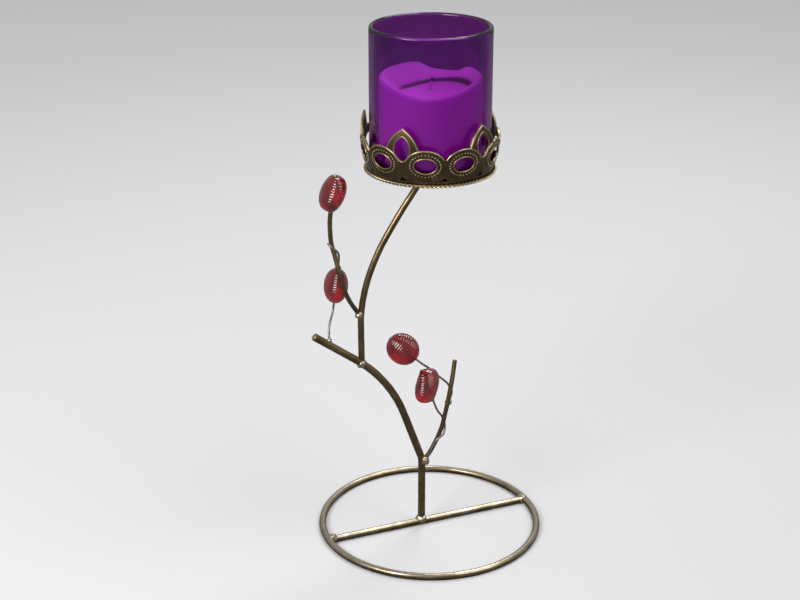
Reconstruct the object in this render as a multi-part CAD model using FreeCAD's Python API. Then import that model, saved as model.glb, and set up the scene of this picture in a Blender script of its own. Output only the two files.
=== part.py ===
"""Candle holder: a rod foot, a leaning stem with beaded twigs, and a pierced cup with a votive glass.

Millimetres. +X runs along the crossbar, +Y away from the front, +Z up, and the origin is the centre of the
base ring on the surface that the holder stands on.
"""
import FreeCAD
import Part
import math
import os
from FreeCAD import Rotation, Vector

# Base ring and crossbar
ring_radius = 62.0
ring_rod = 4.0
ring_flat_depth = 0.25
crossbar_rod = 3.8
crossbar_floor_gap = 0.3
crossbar_end_share = 0.3
end_weld_radius = 3.0
end_weld_lift = 0.6

# Lower stem, in the plane of the crossbar: rows of shares are reach to the left and rise
lower_stem_rod = 4.2
lower_stem_foot_offset = 5.0
lower_stem_reach = 63.6
lower_stem_rise = 127.0
lower_stem_shares = ((0, 0), (0, 0.319), (0.307, 0.743), (1, 1))
lower_stem_bend_shares = (0.05, 0.45)
foot_weld_radius = 3.6
foot_weld_lift = 1.6

# Upper stem, from the lower stem to the cup plate: rows of shares are reach to the right and rise
upper_stem_rod = 3.5
upper_stem_seat_share = 0.569
upper_stem_reach = 39.2
upper_stem_shares = ((0, 0), (-0.008, 0.287), (0.082, 0.4445), (0.26, 0.602), (0.554, 0.774), (1, 1))
upper_stem_bend_share = 0.45
stem_joint_weld_radius = 3.1
plate_weld_radius = 3.8

# Cup: plate, pierced collar and twisted rim; its axis lies a little left of the middle of the ring
seat_height = 215.6
cup_offset = 1.25
plate_thickness = 1.2
collar_thickness = 0.7
collar_height = 31.0
collar_bulge = 2.8
collar_bulge_height_share = 0.42
collar_tip_gap = 2.0
plate_rim_gap = 0.5
rope_rim_wire = 1.8
collar_repeats = 5
collar_phase = -137.0
band_height = 9.0
oval_width = 22.0
oval_height = 17.2
oval_centre_height = 12.0
oval_hole_width = 11.8
oval_hole_height = 7.8
oval_angle = 19.5
petal_width = 20.0
petal_drop = 14.0
petal_shoulder_width = 14.0
petal_shoulder_drop = 6.1
petal_hole_width = 8.2
petal_hole_low = 13.6
petal_hole_waist = 19.0
petal_hole_high = 27.0
piercing_width = 4.0
piercing_low = 3.4
piercing_high = 5.7

# Votive glass
glass_radius = 32.3
glass_height = 75.7
glass_wall = 2.6
glass_floor = 5.0
glass_rim_round_share = 0.45
glass_base_round = 2.0

# Candle, wick and wick foot; its rim has melted down at the front and at the back
candle_radius = 27.4
candle_height = 46.0
candle_edge_round = 2.0
pool_radius = 20.5
pool_depth = 8.0
pool_slope_width = 3.0
spill_depth = 6.4
spill_half_width = 22.0
spill_turn = -116.5
dip_depth = 4.2
dip_half_width = 12.0
dip_turn = 48.5
wick_diameter = 2.0
wick_stand = 3.0
wick_lean = 1.6
wick_tip_rise = 3.0
wick_clearance = 0.05
wick_bend_share = 0.4
sustainer_radius = 8.0
sustainer_thickness = 0.4
sustainer_neck_radius = 2.2
sustainer_neck_height = 4.0

# Left twig on the upper stem: rows of shares are reach to the left, sway to the back and rise
left_twig_rod = 2.5
left_twig_root_share = 0.259
left_twig_reach = 15.8
left_twig_sway = 3.5
left_twig_rise = 71.0
left_twig_shares = (
    (0, 0, 0), (0.5, -0.71, 0.168), (0.75, -1, 0.311), (0.83, -0.57, 0.418), (0.88, 0.29, 0.517),
    (0.97, 0.86, 0.613), (0.985, 1, 0.7), (1, 0.857, 0.793), (0.917, 0.371, 1.01),
)
left_twig_weld_radius = 2.5

# Right twig on the elbow of the lower stem: reach to the right, sway to the back and rise
right_twig_rod = 2.6
right_twig_root_share = 0.302
right_twig_reach = 20.4
right_twig_sway = 4.0
right_twig_rise = 60.0
right_twig_shares = (
    (0, 0, 0), (0.157, -0.375, 0.075), (0.363, -0.75, 0.222), (0.52, -1, 0.368), (0.623, -1, 0.518),
    (0.745, -0.75, 0.672), (0.887, -0.25, 0.835), (1, 0.25, 1),
)
right_twig_weld_radius = 2.6
right_twig_weld_sway_share = -0.45

# Tendrils: thin wires that wind round the twigs, as shares of the twig's rise and of a turn, then run free
tendril_rod = 1.2
tip_wrap_gap = 0.55
low_wrap_gap = 0.9
high_wrap_gap = 0.95
tip_tendril_root_share = 0.865
tip_tendril_reach = 10.5
tip_tendril_sway = 10.9
tip_tendril_rise = 43.9
tip_tendril_shares = ((0, 0, 0), (0.152, 0.367, 0.212), (0.56, 0.838, 0.349), (1, 1, 1))
tip_tendril_wrap_shares = ((0.521, 0.02), (0.556, -0.139), (0.592, -0.297), (0.62, -0.453))
tip_tendril_weld_radius = 1.9
low_tendril_wrap_shares = (
    (0.03, -0.256), (0.177, -0.378), (0.26, -0.336), (0.305, -0.131), (0.344, 0.036), (0.41, 0.133),
    (0.472, 0.3),
)
low_tendril_shares = ((0.285, -1.981, 0.585), (0.049, -1.125, 0.832))
high_tendril_wrap_shares = ((0.6, 0.125), (0.7, 0.089), (0.778, 0.328))
high_tendril_shares = (
    (0.5, 0.625, 0.864), (0.235, 0.55, 0.956), (0.011, 0.277, 1.018), (-0.475, 1.25, 1.169),
)
high_tendril_solder_radius = 2.1
twig_bend_share = 0.45
tendril_bend_share = 0.3

# Beads: oval, flatter one way than the other; the top left and low right ones lean off their wires
bead_width = 17.4
bead_depth = 12.6
bead_length = 19.0
top_left_bead_lean_share = 0.24
low_right_bead_lean_share = 0.4
low_right_bead_turn_share = 0.5
bead_bore_clearance = 0.06
bead_wire_proud = 0.6

# Every cut runs past its faces by this much
overrun = 5.0

FULL_TURN = 360.0
UP = Vector(0, 0, 1)
ALONG = Vector(1, 0, 0)
AWAY = Vector(0, 1, 0)
ORIGIN = Vector(0, 0, 0)
nodes = {}


def unit(vector):
    """The vector at length one."""
    return Vector(vector).normalize()


def rounded_path(points, bend_shares):
    """Straight runs with a tangent arc at each corner; an arc takes its share of the shorter run."""
    edges = []
    start = points[0]
    for before, corner, after, share in zip(points, points[1:], points[2:], bend_shares):
        back = before - corner
        ahead = after - corner
        cut = share * min(back.Length, ahead.Length)
        half_turn = (math.pi - back.getAngle(ahead)) / 2
        radius = cut / math.tan(half_turn)
        inward = unit(unit(back) + unit(ahead))
        middle = corner + inward * (radius / math.cos(half_turn) - radius)
        enter = corner + unit(back) * cut
        leave = corner + unit(ahead) * cut
        edges.append(Part.LineSegment(start, enter).toShape())
        edges.append(Part.Arc(enter, middle, leave).toShape())
        start = leave
    edges.append(Part.LineSegment(start, points[-1]).toShape())
    return Part.Wire(edges)


def rod_along(path, diameter):
    """A round rod swept along a path of straight runs and tangent arcs."""
    first = path.OrderedEdges[0]
    start = first.valueAt(first.FirstParameter)
    section = Part.Wire(Part.Circle(start, first.tangentAt(first.FirstParameter), diameter / 2).toShape())
    return path.makePipeShell([section], True, False)


def even_bends(points, share):
    """The same bend share for every corner of a twig or wire."""
    return [share] * (len(points) - 2)


def twig_points(root, reach, sway, rise, shares):
    """Points of a twig: each row of shares goes along X, Y and Z from the root."""
    return [root + Vector(reach * along, sway * back, rise * high) for along, back, high in shares]


def point_at_height(points, height):
    """The point at a height on the straight runs between points that climb."""
    for low, high in zip(points, points[1:]):
        if low.z <= height <= high.z:
            return low + (high - low) * ((height - low.z) / (high.z - low.z))
    return points[-1]


def wrap_points(points, rise, radius, wrap):
    """Points round a twig, each at a share of its rise and at a share of a turn about it."""
    places = []
    for share, turn_share in wrap:
        turn = math.tau * turn_share
        centre = point_at_height(points, points[0].z + rise * share)
        places.append(centre + Vector(math.cos(turn), math.sin(turn), 0) * radius)
    return places


def largest(shape):
    """The largest solid of a cut shape."""
    return max(shape.Solids, key=lambda solid: solid.Volume)


def slab(low, high):
    """A level block between two heights, wider than the whole holder."""
    side = 2 * (ring_radius + lower_stem_reach)
    return Part.makeBox(2 * side, 2 * side, high - low, Vector(-side, -side, low))


def weld(centre, radius, axis, cutters):
    """A ball of weld metal at a joint, its poles along a joined piece, cut by the pieces that it joins."""
    ball = Part.makeSphere(radius, centre, axis)
    for cutter in cutters:
        ball = ball.cut(cutter)
    return largest(ball)


def bead(centre, direction, wide, wire_diameter, lean=ORIGIN):
    """An oval bead bored for its wire, its wider side towards a direction, leaning off the wire."""
    half_length = bead_length / 2
    stretch = FreeCAD.Matrix()
    stretch.scale(bead_width / 2, bead_depth / 2, half_length)
    body = Part.makeSphere(1).transformGeometry(stretch)
    body.Placement = FreeCAD.Placement(centre, Rotation(wide, ORIGIN, direction + lean, "ZXY"))
    bore_radius = wire_diameter / 2 + bead_bore_clearance
    bore_start = centre - direction * (half_length + overrun)
    bore = Part.makeCylinder(bore_radius, bead_length + 2 * overrun, bore_start, direction)
    return largest(body.cut(bore))


def bead_run(points):
    """The centre and direction of a bead at the end of a wire, and the wire's end past it."""
    centre = points[-1]
    direction = unit(centre - points[-2])
    return centre, direction, centre + direction * (bead_length / 2 + bead_wire_proud)


def make_base():
    """Ring, crossbar and the welds at the crossbar's ends."""
    floor = slab(-ring_rod - overrun, 0)
    ring_height = ring_rod / 2 - ring_flat_depth
    full_ring = Part.makeTorus(ring_radius, ring_rod / 2, Vector(0, 0, ring_height))
    ring = largest(full_ring.cut(floor))
    half_length = ring_radius - ring_rod * crossbar_end_share
    bar_height = crossbar_rod / 2 + crossbar_floor_gap
    bar_start = Vector(-half_length, 0, bar_height)
    bar = Part.makeCylinder(crossbar_rod / 2, 2 * half_length, bar_start, ALONG)
    bar = largest(bar.cut(ring))
    reach = ring_radius - ring_rod / 2
    places = [Vector(side * reach, 0, bar_height + end_weld_lift) for side in (-1, 1)]
    nodes["base_ring"] = ring
    nodes["crossbar"] = bar
    nodes["crossbar_end_welds"] = Part.makeCompound(
        [weld(place, end_weld_radius, ALONG, (ring, bar, floor)) for place in places])
    return bar_height


def make_stems(bar_height):
    """Lower stem on the crossbar, upper stem from it to the plate, and their welds."""
    foot = Vector(-lower_stem_foot_offset, 0, bar_height)
    low_points = [foot + Vector(-lower_stem_reach * along, 0, lower_stem_rise * high)
                  for along, high in lower_stem_shares]
    low_path = rounded_path(low_points, lower_stem_bend_shares)
    lower = largest(rod_along(low_path, lower_stem_rod).cut(nodes["crossbar"]))
    seat_x = foot.x - lower_stem_reach * upper_stem_seat_share
    plumb = Part.LineSegment(Vector(seat_x, 0, bar_height), Vector(seat_x, 0, bar_height + lower_stem_rise))
    seat = low_path.distToShape(plumb.toShape())[1][0][0]
    upper_rise = seat_height - seat.z
    up_points = [seat + Vector(upper_stem_reach * along, 0, upper_rise * high)
                 for along, high in upper_stem_shares]
    top = up_points[-1]
    up_points[-1] = top + unit(top - up_points[-2]) * upper_stem_rod
    up_path = rounded_path(up_points, even_bends(up_points, upper_stem_bend_share))
    upper = rod_along(up_path, upper_stem_rod)
    above = slab(seat_height, seat_height + upper_stem_rod + overrun)
    upper = largest(upper.cut(above).cut(lower))
    foot_place = foot + UP * foot_weld_lift
    floor = slab(-foot_weld_radius - overrun, 0)
    nodes["lower_stem"] = lower
    nodes["upper_stem"] = upper
    nodes["stem_foot_weld"] = weld(foot_place, foot_weld_radius, UP, (nodes["crossbar"], lower, floor))
    nodes["stem_joint_weld"] = weld(seat, stem_joint_weld_radius, UP, (lower, upper))
    nodes["plate_weld"] = weld(top, plate_weld_radius, top - up_points[-2], (upper, above))
    return low_points, up_points, upper_rise


def make_left_twig(up_points, upper_rise):
    """Left twig with its bead, welded to the upper stem."""
    root = point_at_height(up_points, up_points[0].z + upper_rise * left_twig_root_share)
    points = twig_points(root, -left_twig_reach, left_twig_sway, left_twig_rise, left_twig_shares)
    centre, direction, end = bead_run(points)
    path = points[:-1] + [end]
    twig = rod_along(rounded_path(path, even_bends(path, twig_bend_share)), left_twig_rod)
    twig = largest(twig.cut(nodes["upper_stem"]))
    axis = unit(points[1] - root)
    weld_place = root + axis * (upper_stem_rod / 2)
    nodes["left_twig"] = twig
    nodes["left_twig_weld"] = weld(weld_place, left_twig_weld_radius, axis, (nodes["upper_stem"], twig))
    lean = ALONG * top_left_bead_lean_share
    nodes["top_left_bead"] = bead(centre, direction, AWAY, left_twig_rod, lean)
    return points


def make_tip_tendril(low_points, twig):
    """Thin wire from the tip of the lower stem, through its bead and round the left twig."""
    tip_run = low_points[-1] - low_points[-2]
    root_reach = lower_stem_reach * (tip_tendril_root_share - lower_stem_shares[-2][0])
    root = low_points[-2] + tip_run * (root_reach / abs(tip_run.x))
    points = twig_points(root, tip_tendril_reach, tip_tendril_sway, tip_tendril_rise, tip_tendril_shares)
    direction = unit(points[-1] - points[-2])
    centre = (points[-1] + points[-2]) / 2
    wrap_radius = (left_twig_rod + tendril_rod) / 2 + tip_wrap_gap
    path = points + wrap_points(twig, left_twig_rise, wrap_radius, tip_tendril_wrap_shares)
    wire = rod_along(rounded_path(path, even_bends(path, tendril_bend_share)), tendril_rod)
    wire = largest(wire.cut(nodes["lower_stem"]))
    axis = unit(points[1] - root)
    weld_place = root + axis * (lower_stem_rod / 2)
    nodes["tip_tendril"] = wire
    nodes["tip_tendril_weld"] = weld(weld_place, tip_tendril_weld_radius, axis, (nodes["lower_stem"], wire))
    nodes["low_left_bead"] = bead(centre, direction, AWAY, tendril_rod)


def make_right_twig(low_points):
    """Right twig on the elbow, with the two thin wires that wind round it and their beads."""
    root = low_points[0] + UP * (lower_stem_rise * right_twig_root_share)
    sizes = (right_twig_reach, right_twig_sway, right_twig_rise)
    points = twig_points(root, *sizes, right_twig_shares)
    twig_path = rounded_path(points, even_bends(points, twig_bend_share))
    twig = largest(rod_along(twig_path, right_twig_rod).cut(nodes["lower_stem"]))
    nodes["right_twig"] = twig
    wires = {}
    low_wire = (low_wrap_gap, low_tendril_wrap_shares, low_tendril_shares)
    high_wire = (high_wrap_gap, high_tendril_wrap_shares, high_tendril_shares)
    low_wide = ALONG + AWAY * low_right_bead_turn_share
    low_lean = ALONG * low_right_bead_lean_share
    for name, (gap, wrap, shares), bead_name, wide, lean in (
            ("low_tendril", low_wire, "low_right_bead", low_wide, low_lean),
            ("high_tendril", high_wire, "high_right_bead", ALONG + UP, ORIGIN)):
        wrap_radius = (right_twig_rod + tendril_rod) / 2 + gap
        path = wrap_points(points, right_twig_rise, wrap_radius, wrap) + twig_points(root, *sizes, shares)
        centre, direction, end = bead_run(path)
        path[-1] = end
        wires[name] = path
        nodes[name] = rod_along(rounded_path(path, even_bends(path, tendril_bend_share)), tendril_rod)
        nodes[bead_name] = bead(centre, direction, wide, tendril_rod, lean)
    axis = unit(points[1] - root)
    weld_shift = Vector(0, right_twig_sway * right_twig_weld_sway_share, 0)
    weld_place = root + axis * (lower_stem_rod / 2) + weld_shift
    joined = (nodes["lower_stem"], twig, nodes["low_tendril"])
    nodes["right_twig_weld"] = weld(weld_place, right_twig_weld_radius, axis, joined)
    wire_start = wires["high_tendril"][0]
    touch = twig_path.distToShape(Part.Vertex(wire_start))[1][0][0]
    solder_place = (touch + wire_start) / 2
    joined = (twig, nodes["high_tendril"])
    axis = wire_start - touch
    nodes["high_tendril_solder"] = weld(solder_place, high_tendril_solder_radius, axis, joined)


def outline_prism(edges, inner, outer):
    """A closed outline across Y and Z, carried outwards along X from one radius to another."""
    face = Part.Face(Part.Wire(Part.sortEdges(edges)[0]))
    face.translate(Vector(inner, 0, 0))
    return face.extrude(Vector(outer - inner, 0, 0))


def oval_edges(width, height, centre_height):
    """An oval, lying or standing."""
    across = Vector(0, width / 2, centre_height)
    top = Vector(0, 0, centre_height + height / 2)
    long_end, short_end = (across, top) if width > height else (top, across)
    return [Part.Ellipse(long_end, short_end, Vector(0, 0, centre_height)).toShape()]


def arch_edges(width, shoulder_width, low, foot, shoulder, high):
    """A pointed arch on upright sides: an arc each side from its foot through the shoulder to the tip."""
    edges = [Part.LineSegment(Vector(0, -width / 2, low), Vector(0, width / 2, low)).toShape()]
    for half_width, half_shoulder in ((-width / 2, -shoulder_width / 2), (width / 2, shoulder_width / 2)):
        arc_foot = Vector(0, half_width, foot)
        edges.append(Part.LineSegment(Vector(0, half_width, low), arc_foot).toShape())
        edges.append(Part.Arc(arc_foot, Vector(0, half_shoulder, shoulder), Vector(0, 0, high)).toShape())
    return edges


def leaf_edges(width, low, waist, high):
    """A leaf, pointed at its low and high ends: an arc each side through the waist."""
    ends = Vector(0, 0, low), Vector(0, 0, high)
    sides = [Vector(0, side * width / 2, waist) for side in (-1, 1)]
    return [Part.Arc(ends[0], side, ends[1]).toShape() for side in sides]


def triangle_edges(width, low, high):
    """An upright triangle."""
    corners = [Vector(0, -width / 2, low), Vector(0, width / 2, low), Vector(0, 0, high)]
    return Part.makePolygon(corners + corners[:1]).Edges


def make_cup():
    """Plate, pierced collar and twisted rim."""
    plate_radius = glass_radius + plate_rim_gap
    plate = Part.makeCylinder(plate_radius, plate_thickness, Vector(0, 0, seat_height))
    tip_radius = glass_radius + collar_tip_gap
    bulge_radius = plate_radius + collar_bulge
    bulge_height = collar_height * collar_bulge_height_share
    inner_foot = Vector(plate_radius, 0, 0)
    inner_rim = Vector(plate_radius, 0, plate_thickness)
    inner_bulge = Vector(bulge_radius, 0, bulge_height)
    inner_tip = Vector(tip_radius, 0, collar_height)
    outward = Vector(collar_thickness, 0, 0)
    profile = [
        Part.LineSegment(inner_foot, inner_rim).toShape(),
        Part.Arc(inner_rim, inner_bulge, inner_tip).toShape(),
        Part.LineSegment(inner_tip, inner_tip + outward).toShape(),
        Part.Arc(inner_tip + outward, inner_bulge + outward, inner_rim + outward).toShape(),
        Part.LineSegment(inner_rim + outward, inner_foot + outward).toShape(),
        Part.LineSegment(inner_foot + outward, inner_foot).toShape(),
    ]
    wall = Part.Face(Part.Wire(profile)).revolve(ORIGIN, UP, FULL_TURN)
    inner = tip_radius - overrun
    outer = bulge_radius + collar_thickness + overrun
    oval = outline_prism(oval_edges(oval_width, oval_height, oval_centre_height), inner, outer)
    petal_foot, petal_shoulder = collar_height - petal_drop, collar_height - petal_shoulder_drop
    petal_outline = arch_edges(
        petal_width, petal_shoulder_width, band_height / 2, petal_foot, petal_shoulder, collar_height)
    oval_hole = outline_prism(oval_edges(oval_hole_width, oval_hole_height, oval_centre_height), inner, outer)
    petal_hole_outline = leaf_edges(petal_hole_width, petal_hole_low, petal_hole_waist, petal_hole_high)
    petal_hole = outline_prism(petal_hole_outline, inner, outer)
    petal = outline_prism(petal_outline, inner, outer).cut(petal_hole)
    piercing = outline_prism(triangle_edges(piercing_width, piercing_low, piercing_high), inner, outer)
    band = Part.makeCylinder(outer, band_height)
    repeat = FULL_TURN / collar_repeats
    kept = []
    holes = []
    for index in range(collar_repeats):
        middle = collar_phase + repeat * index
        kept.append(petal.rotated(ORIGIN, UP, middle))
        holes.append(piercing.rotated(ORIGIN, UP, middle))
        holes.append(piercing.rotated(ORIGIN, UP, middle + repeat / 2))
        for side in (-1, 1):
            kept.append(oval.rotated(ORIGIN, UP, middle + side * oval_angle))
            holes.append(oval_hole.rotated(ORIGIN, UP, middle + side * oval_angle))
    collar = wall.common(band.multiFuse(kept)).cut(holes)
    collar = largest(collar)
    collar.translate(Vector(0, 0, seat_height))
    rope_radius = plate_radius + collar_thickness + rope_rim_wire / 2
    nodes["cup_plate"] = plate
    nodes["gallery_collar"] = collar
    rope_centre = Vector(0, 0, seat_height + rope_rim_wire / 2)
    nodes["rope_rim"] = Part.makeTorus(rope_radius, rope_rim_wire / 2, rope_centre)
    return seat_height + plate_thickness


def make_glass(foot):
    """Tumbler with a thick floor, a rounded rim and a rounded foot."""
    bore_radius = glass_radius - glass_wall
    outside = Part.makeCylinder(glass_radius, glass_height, Vector(0, 0, foot))
    bore = Part.makeCylinder(bore_radius, glass_height, Vector(0, 0, foot + glass_floor))
    glass = outside.cut(bore)
    level_edges = [edge for edge in glass.Edges if len(edge.Vertexes) == 1]
    rim = [edge for edge in level_edges if edge.BoundBox.ZMin > foot + glass_floor]
    glass = glass.makeFillet(glass_wall * glass_rim_round_share, rim)
    level_edges = [edge for edge in glass.Edges if len(edge.Vertexes) == 1]
    base = [edge for edge in level_edges if edge.BoundBox.ZMax < foot + glass_floor / 2]
    nodes["votive_glass"] = largest(glass.makeFillet(glass_base_round, base))
    return foot + glass_floor


def melt_cut(rim, depth, half_width, turn):
    """A round hollow across the candle's rim on one side, as deep and as wide as given."""
    radius = (half_width ** 2 + depth ** 2) / (2 * depth)
    way = Rotation(UP, turn).multVec(ALONG)
    return Part.makeCylinder(radius, candle_radius + overrun, Vector(0, 0, rim - depth + radius), way)


def make_candle(foot):
    """Wax with a melt pool and a melted rim, its wick and the metal foot of the wick."""
    rim = foot + candle_height
    pool = rim - pool_depth
    shoulder = pool_radius + pool_slope_width
    corners = [
        Vector(0, 0, foot), Vector(candle_radius, 0, foot), Vector(candle_radius, 0, rim),
        Vector(shoulder, 0, rim), Vector(pool_radius, 0, pool), Vector(0, 0, pool),
    ]
    wax = Part.Face(Part.makePolygon(corners + corners[:1])).revolve(ORIGIN, UP, FULL_TURN)
    rim_edges = [edge for edge in wax.Edges if len(edge.Vertexes) == 1 and edge.BoundBox.ZMin > pool
                 and edge.BoundBox.XMax > shoulder]
    wax = wax.makeFillet(candle_edge_round, rim_edges)
    wax = wax.cut(melt_cut(rim, spill_depth, spill_half_width, spill_turn))
    wax = wax.cut(melt_cut(rim, dip_depth, dip_half_width, dip_turn))
    plate = Part.makeCylinder(sustainer_radius, sustainer_thickness, Vector(0, 0, foot))
    neck = Part.makeCylinder(sustainer_neck_radius, sustainer_neck_height, Vector(0, 0, foot))
    wick_hole_radius = wick_diameter / 2 + wick_clearance
    wick_hole = Part.makeCylinder(wick_hole_radius, candle_height + overrun, Vector(0, 0, foot - overrun))
    wick_foot = Vector(0, 0, foot + sustainer_thickness)
    wick_bend = Vector(0, 0, pool + wick_stand)
    wick_tip = wick_bend + Vector(wick_lean, 0, wick_tip_rise)
    wick_path = rounded_path([wick_foot, wick_bend, wick_tip], [wick_bend_share])
    foot_shape = plate.fuse(neck).removeSplitter()
    neck_hole = Part.makeCylinder(wick_hole_radius, sustainer_neck_height, wick_foot)
    nodes["wick_sustainer"] = largest(foot_shape.cut(neck_hole))
    nodes["candle_wick"] = rod_along(wick_path, wick_diameter)
    nodes["candle_wax"] = largest(wax.cut(foot_shape).cut(wick_hole))


def shift_cup(names):
    """Moves the cup, or what stands in it, from the middle of the ring to its own axis."""
    for name in names:
        nodes[name].translate(Vector(-cup_offset, 0, 0))


def write_nodes():
    """One file for each node."""
    os.makedirs("parts", exist_ok=True)
    for name, shape in nodes.items():
        print(name, len(shape.Solids), shape.isValid(), round(shape.Volume, 1))
        shape.exportStep(os.path.join("parts", name + ".step"))


def main():
    """Build from the ground up."""
    bar_height = make_base()
    low_points, up_points, upper_rise = make_stems(bar_height)
    twig = make_left_twig(up_points, upper_rise)
    make_tip_tendril(low_points, twig)
    make_right_twig(low_points)
    plate_top = make_cup()
    make_candle(make_glass(plate_top))
    shift_cup(("cup_plate", "gallery_collar", "rope_rim", "votive_glass"))
    shift_cup(("candle_wax", "candle_wick", "wick_sustainer"))
    write_nodes()


main()
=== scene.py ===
"""Looks of the candle holder: bronze rod stand, red beads, pierced cup, purple glass and a used candle.

Metres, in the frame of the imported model: +X along the crossbar, +Z up, origin at the centre of the base ring.
Every new piece is a surface worked out with numpy and rides on the body of the part that it stands for.
"""
import logging
import math
from dataclasses import dataclass, field
from enum import Enum
from typing import Sequence

import bmesh
import bpy
import numpy as np
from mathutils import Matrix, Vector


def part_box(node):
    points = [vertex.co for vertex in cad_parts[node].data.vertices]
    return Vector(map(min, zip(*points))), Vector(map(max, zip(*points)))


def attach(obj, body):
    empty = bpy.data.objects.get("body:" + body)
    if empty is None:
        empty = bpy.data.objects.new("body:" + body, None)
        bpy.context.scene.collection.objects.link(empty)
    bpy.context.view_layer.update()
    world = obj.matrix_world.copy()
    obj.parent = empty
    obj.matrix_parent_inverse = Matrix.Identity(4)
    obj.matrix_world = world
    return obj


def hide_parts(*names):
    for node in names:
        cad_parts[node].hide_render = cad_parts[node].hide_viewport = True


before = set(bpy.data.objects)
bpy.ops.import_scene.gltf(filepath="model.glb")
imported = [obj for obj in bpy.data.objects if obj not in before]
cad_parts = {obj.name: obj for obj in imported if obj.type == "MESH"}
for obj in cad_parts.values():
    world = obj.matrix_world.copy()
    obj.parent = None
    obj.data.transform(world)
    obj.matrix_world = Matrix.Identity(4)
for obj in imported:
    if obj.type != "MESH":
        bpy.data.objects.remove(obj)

log = logging.getLogger("candle_holder")

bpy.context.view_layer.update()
UP = np.array([0.0, 0.0, 1.0])
ALONG = np.array([1.0, 0.0, 0.0])
AWAY = np.array([0.0, 1.0, 0.0])
VIEW_TURN = math.radians(-112.5)
SMOOTH_ANGLE = math.radians(40)

Colour = tuple[float, float, float]
Row = tuple[float, ...]


class Body(Enum):
    """The bodies of the part that pieces ride on."""

    STAND = "stand"
    GLASS = "glass"
    CANDLE = "candle"


class Slot(Enum):
    """The names of the record's material slots."""

    ROD = "bronze_rod"
    TWIG = "bronze_twig"
    WELD = "weld_metal"
    CUP = "cup_bronze"
    BEAD = "red_bead"
    GLASS = "purple_glass"
    WAX = "candle_wax"
    WICK = "wick_cotton"


# Finishes

class NodeSheet:
    """The nodes of one material, laid out with short calls."""

    def __init__(self, name: str) -> None:
        """Starts a material with its shader.

        Args:
            name: The material's name.
        """
        self.material = bpy.data.materials.new(name)
        self.material.use_nodes = True
        self.tree = self.material.node_tree
        self.shader = self.tree.nodes["Principled BSDF"]
        self.place = self.tree.nodes.new("ShaderNodeTexCoord").outputs["Object"]

    def link(self, source: bpy.types.NodeSocket, target: bpy.types.NodeSocket) -> None:
        """Joins two sockets."""
        self.tree.links.new(source, target)

    def constants(self, **values: float | Colour) -> None:
        """Sets the shader's own sockets to values that are the same all over.

        Args:
            values: Socket names, with low lines for spaces, and their values.
        """
        for name, value in values.items():
            socket = self.shader.inputs[name.replace("_", " ")]
            socket.default_value = (*value, 1.0) if socket.type == "RGBA" else value

    def noise(self, scale: float, detail: float, rough: float = 0.55) -> bpy.types.NodeSocket:
        """A noise on Object coordinates.

        Args:
            scale: Waves to a metre.
            detail: How many finer layers it has.
            rough: How strong those are.

        Returns:
            The socket of its value.
        """
        node = self.tree.nodes.new("ShaderNodeTexNoise")
        self.link(self.place, node.inputs["Vector"])
        for name, value in (("Scale", scale), ("Detail", detail), ("Roughness", rough)):
            node.inputs[name].default_value = value
        return node.outputs["Fac"]

    def sums(self, kind: str, first: bpy.types.NodeSocket,
             second: bpy.types.NodeSocket | float) -> bpy.types.NodeSocket:
        """One sum of two values.

        Args:
            kind: The sum, such as ADD or MULTIPLY.
            first: The first value's socket.
            second: The second value, a socket or a number.

        Returns:
            The socket of the result.
        """
        node = self.tree.nodes.new("ShaderNodeMath")
        node.operation = kind
        self.link(first, node.inputs[0])
        if isinstance(second, bpy.types.NodeSocket):
            self.link(second, node.inputs[1])
        else:
            node.inputs[1].default_value = second
        return node.outputs["Value"]

    def spread(self, value: bpy.types.NodeSocket, low: float, high: float,
               start: float = 0.3, end: float = 0.7) -> bpy.types.NodeSocket:
        """A value spread from one range to another.

        Args:
            value: The socket to read.
            low: The result at start.
            high: The result at end.
            start: The value that gives low.
            end: The value that gives high.

        Returns:
            The socket of the result.
        """
        node = self.tree.nodes.new("ShaderNodeMapRange")
        self.link(value, node.inputs["Value"])
        settings = (("From Min", start), ("From Max", end), ("To Min", low), ("To Max", high))
        for name, number in settings:
            node.inputs[name].default_value = number
        return node.outputs["Result"]

    def ramp(self, value: bpy.types.NodeSocket,
             stops: Sequence[tuple[float, Colour]]) -> bpy.types.NodeSocket:
        """A colour ramp.

        Args:
            value: The socket that runs along the ramp.
            stops: Places on the ramp and their colours.

        Returns:
            The socket of the colour.
        """
        node = self.tree.nodes.new("ShaderNodeValToRGB")
        self.link(value, node.inputs["Fac"])
        elements = node.color_ramp.elements
        while len(elements) < len(stops):
            elements.new(0.5)
        for element, (place, colour) in zip(elements, stops):
            element.position = place
            element.color = (*colour, 1.0)
        return node.outputs["Color"]

    def tone(self) -> bpy.types.NodeSocket:
        """The socket of the tone that each point of the piece carries."""
        node = self.tree.nodes.new("ShaderNodeAttribute")
        node.attribute_name = "tone"
        return node.outputs["Fac"]

    def facing_up(self) -> bpy.types.NodeSocket:
        """The socket of how far a surface faces upwards, from -1 to 1."""
        normal = self.tree.nodes.new("ShaderNodeNewGeometry").outputs["Normal"]
        split = self.tree.nodes.new("ShaderNodeSeparateXYZ")
        self.link(normal, split.inputs["Vector"])
        return split.outputs["Z"]

    def height(self) -> bpy.types.NodeSocket:
        """The socket of the height above the ground."""
        split = self.tree.nodes.new("ShaderNodeSeparateXYZ")
        self.link(self.place, split.inputs["Vector"])
        return split.outputs["Z"]

    def bump(self, height: bpy.types.NodeSocket, strength: float, distance: float) -> None:
        """Raises the surface's shading by a height.

        Args:
            height: The socket of the height, from 0 to 1.
            strength: How much of it shows.
            distance: Its depth in metres.
        """
        node = self.tree.nodes.new("ShaderNodeBump")
        node.inputs["Strength"].default_value = strength
        node.inputs["Distance"].default_value = distance
        self.link(height, node.inputs["Height"])
        self.link(node.outputs["Normal"], self.shader.inputs["Normal"])


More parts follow.
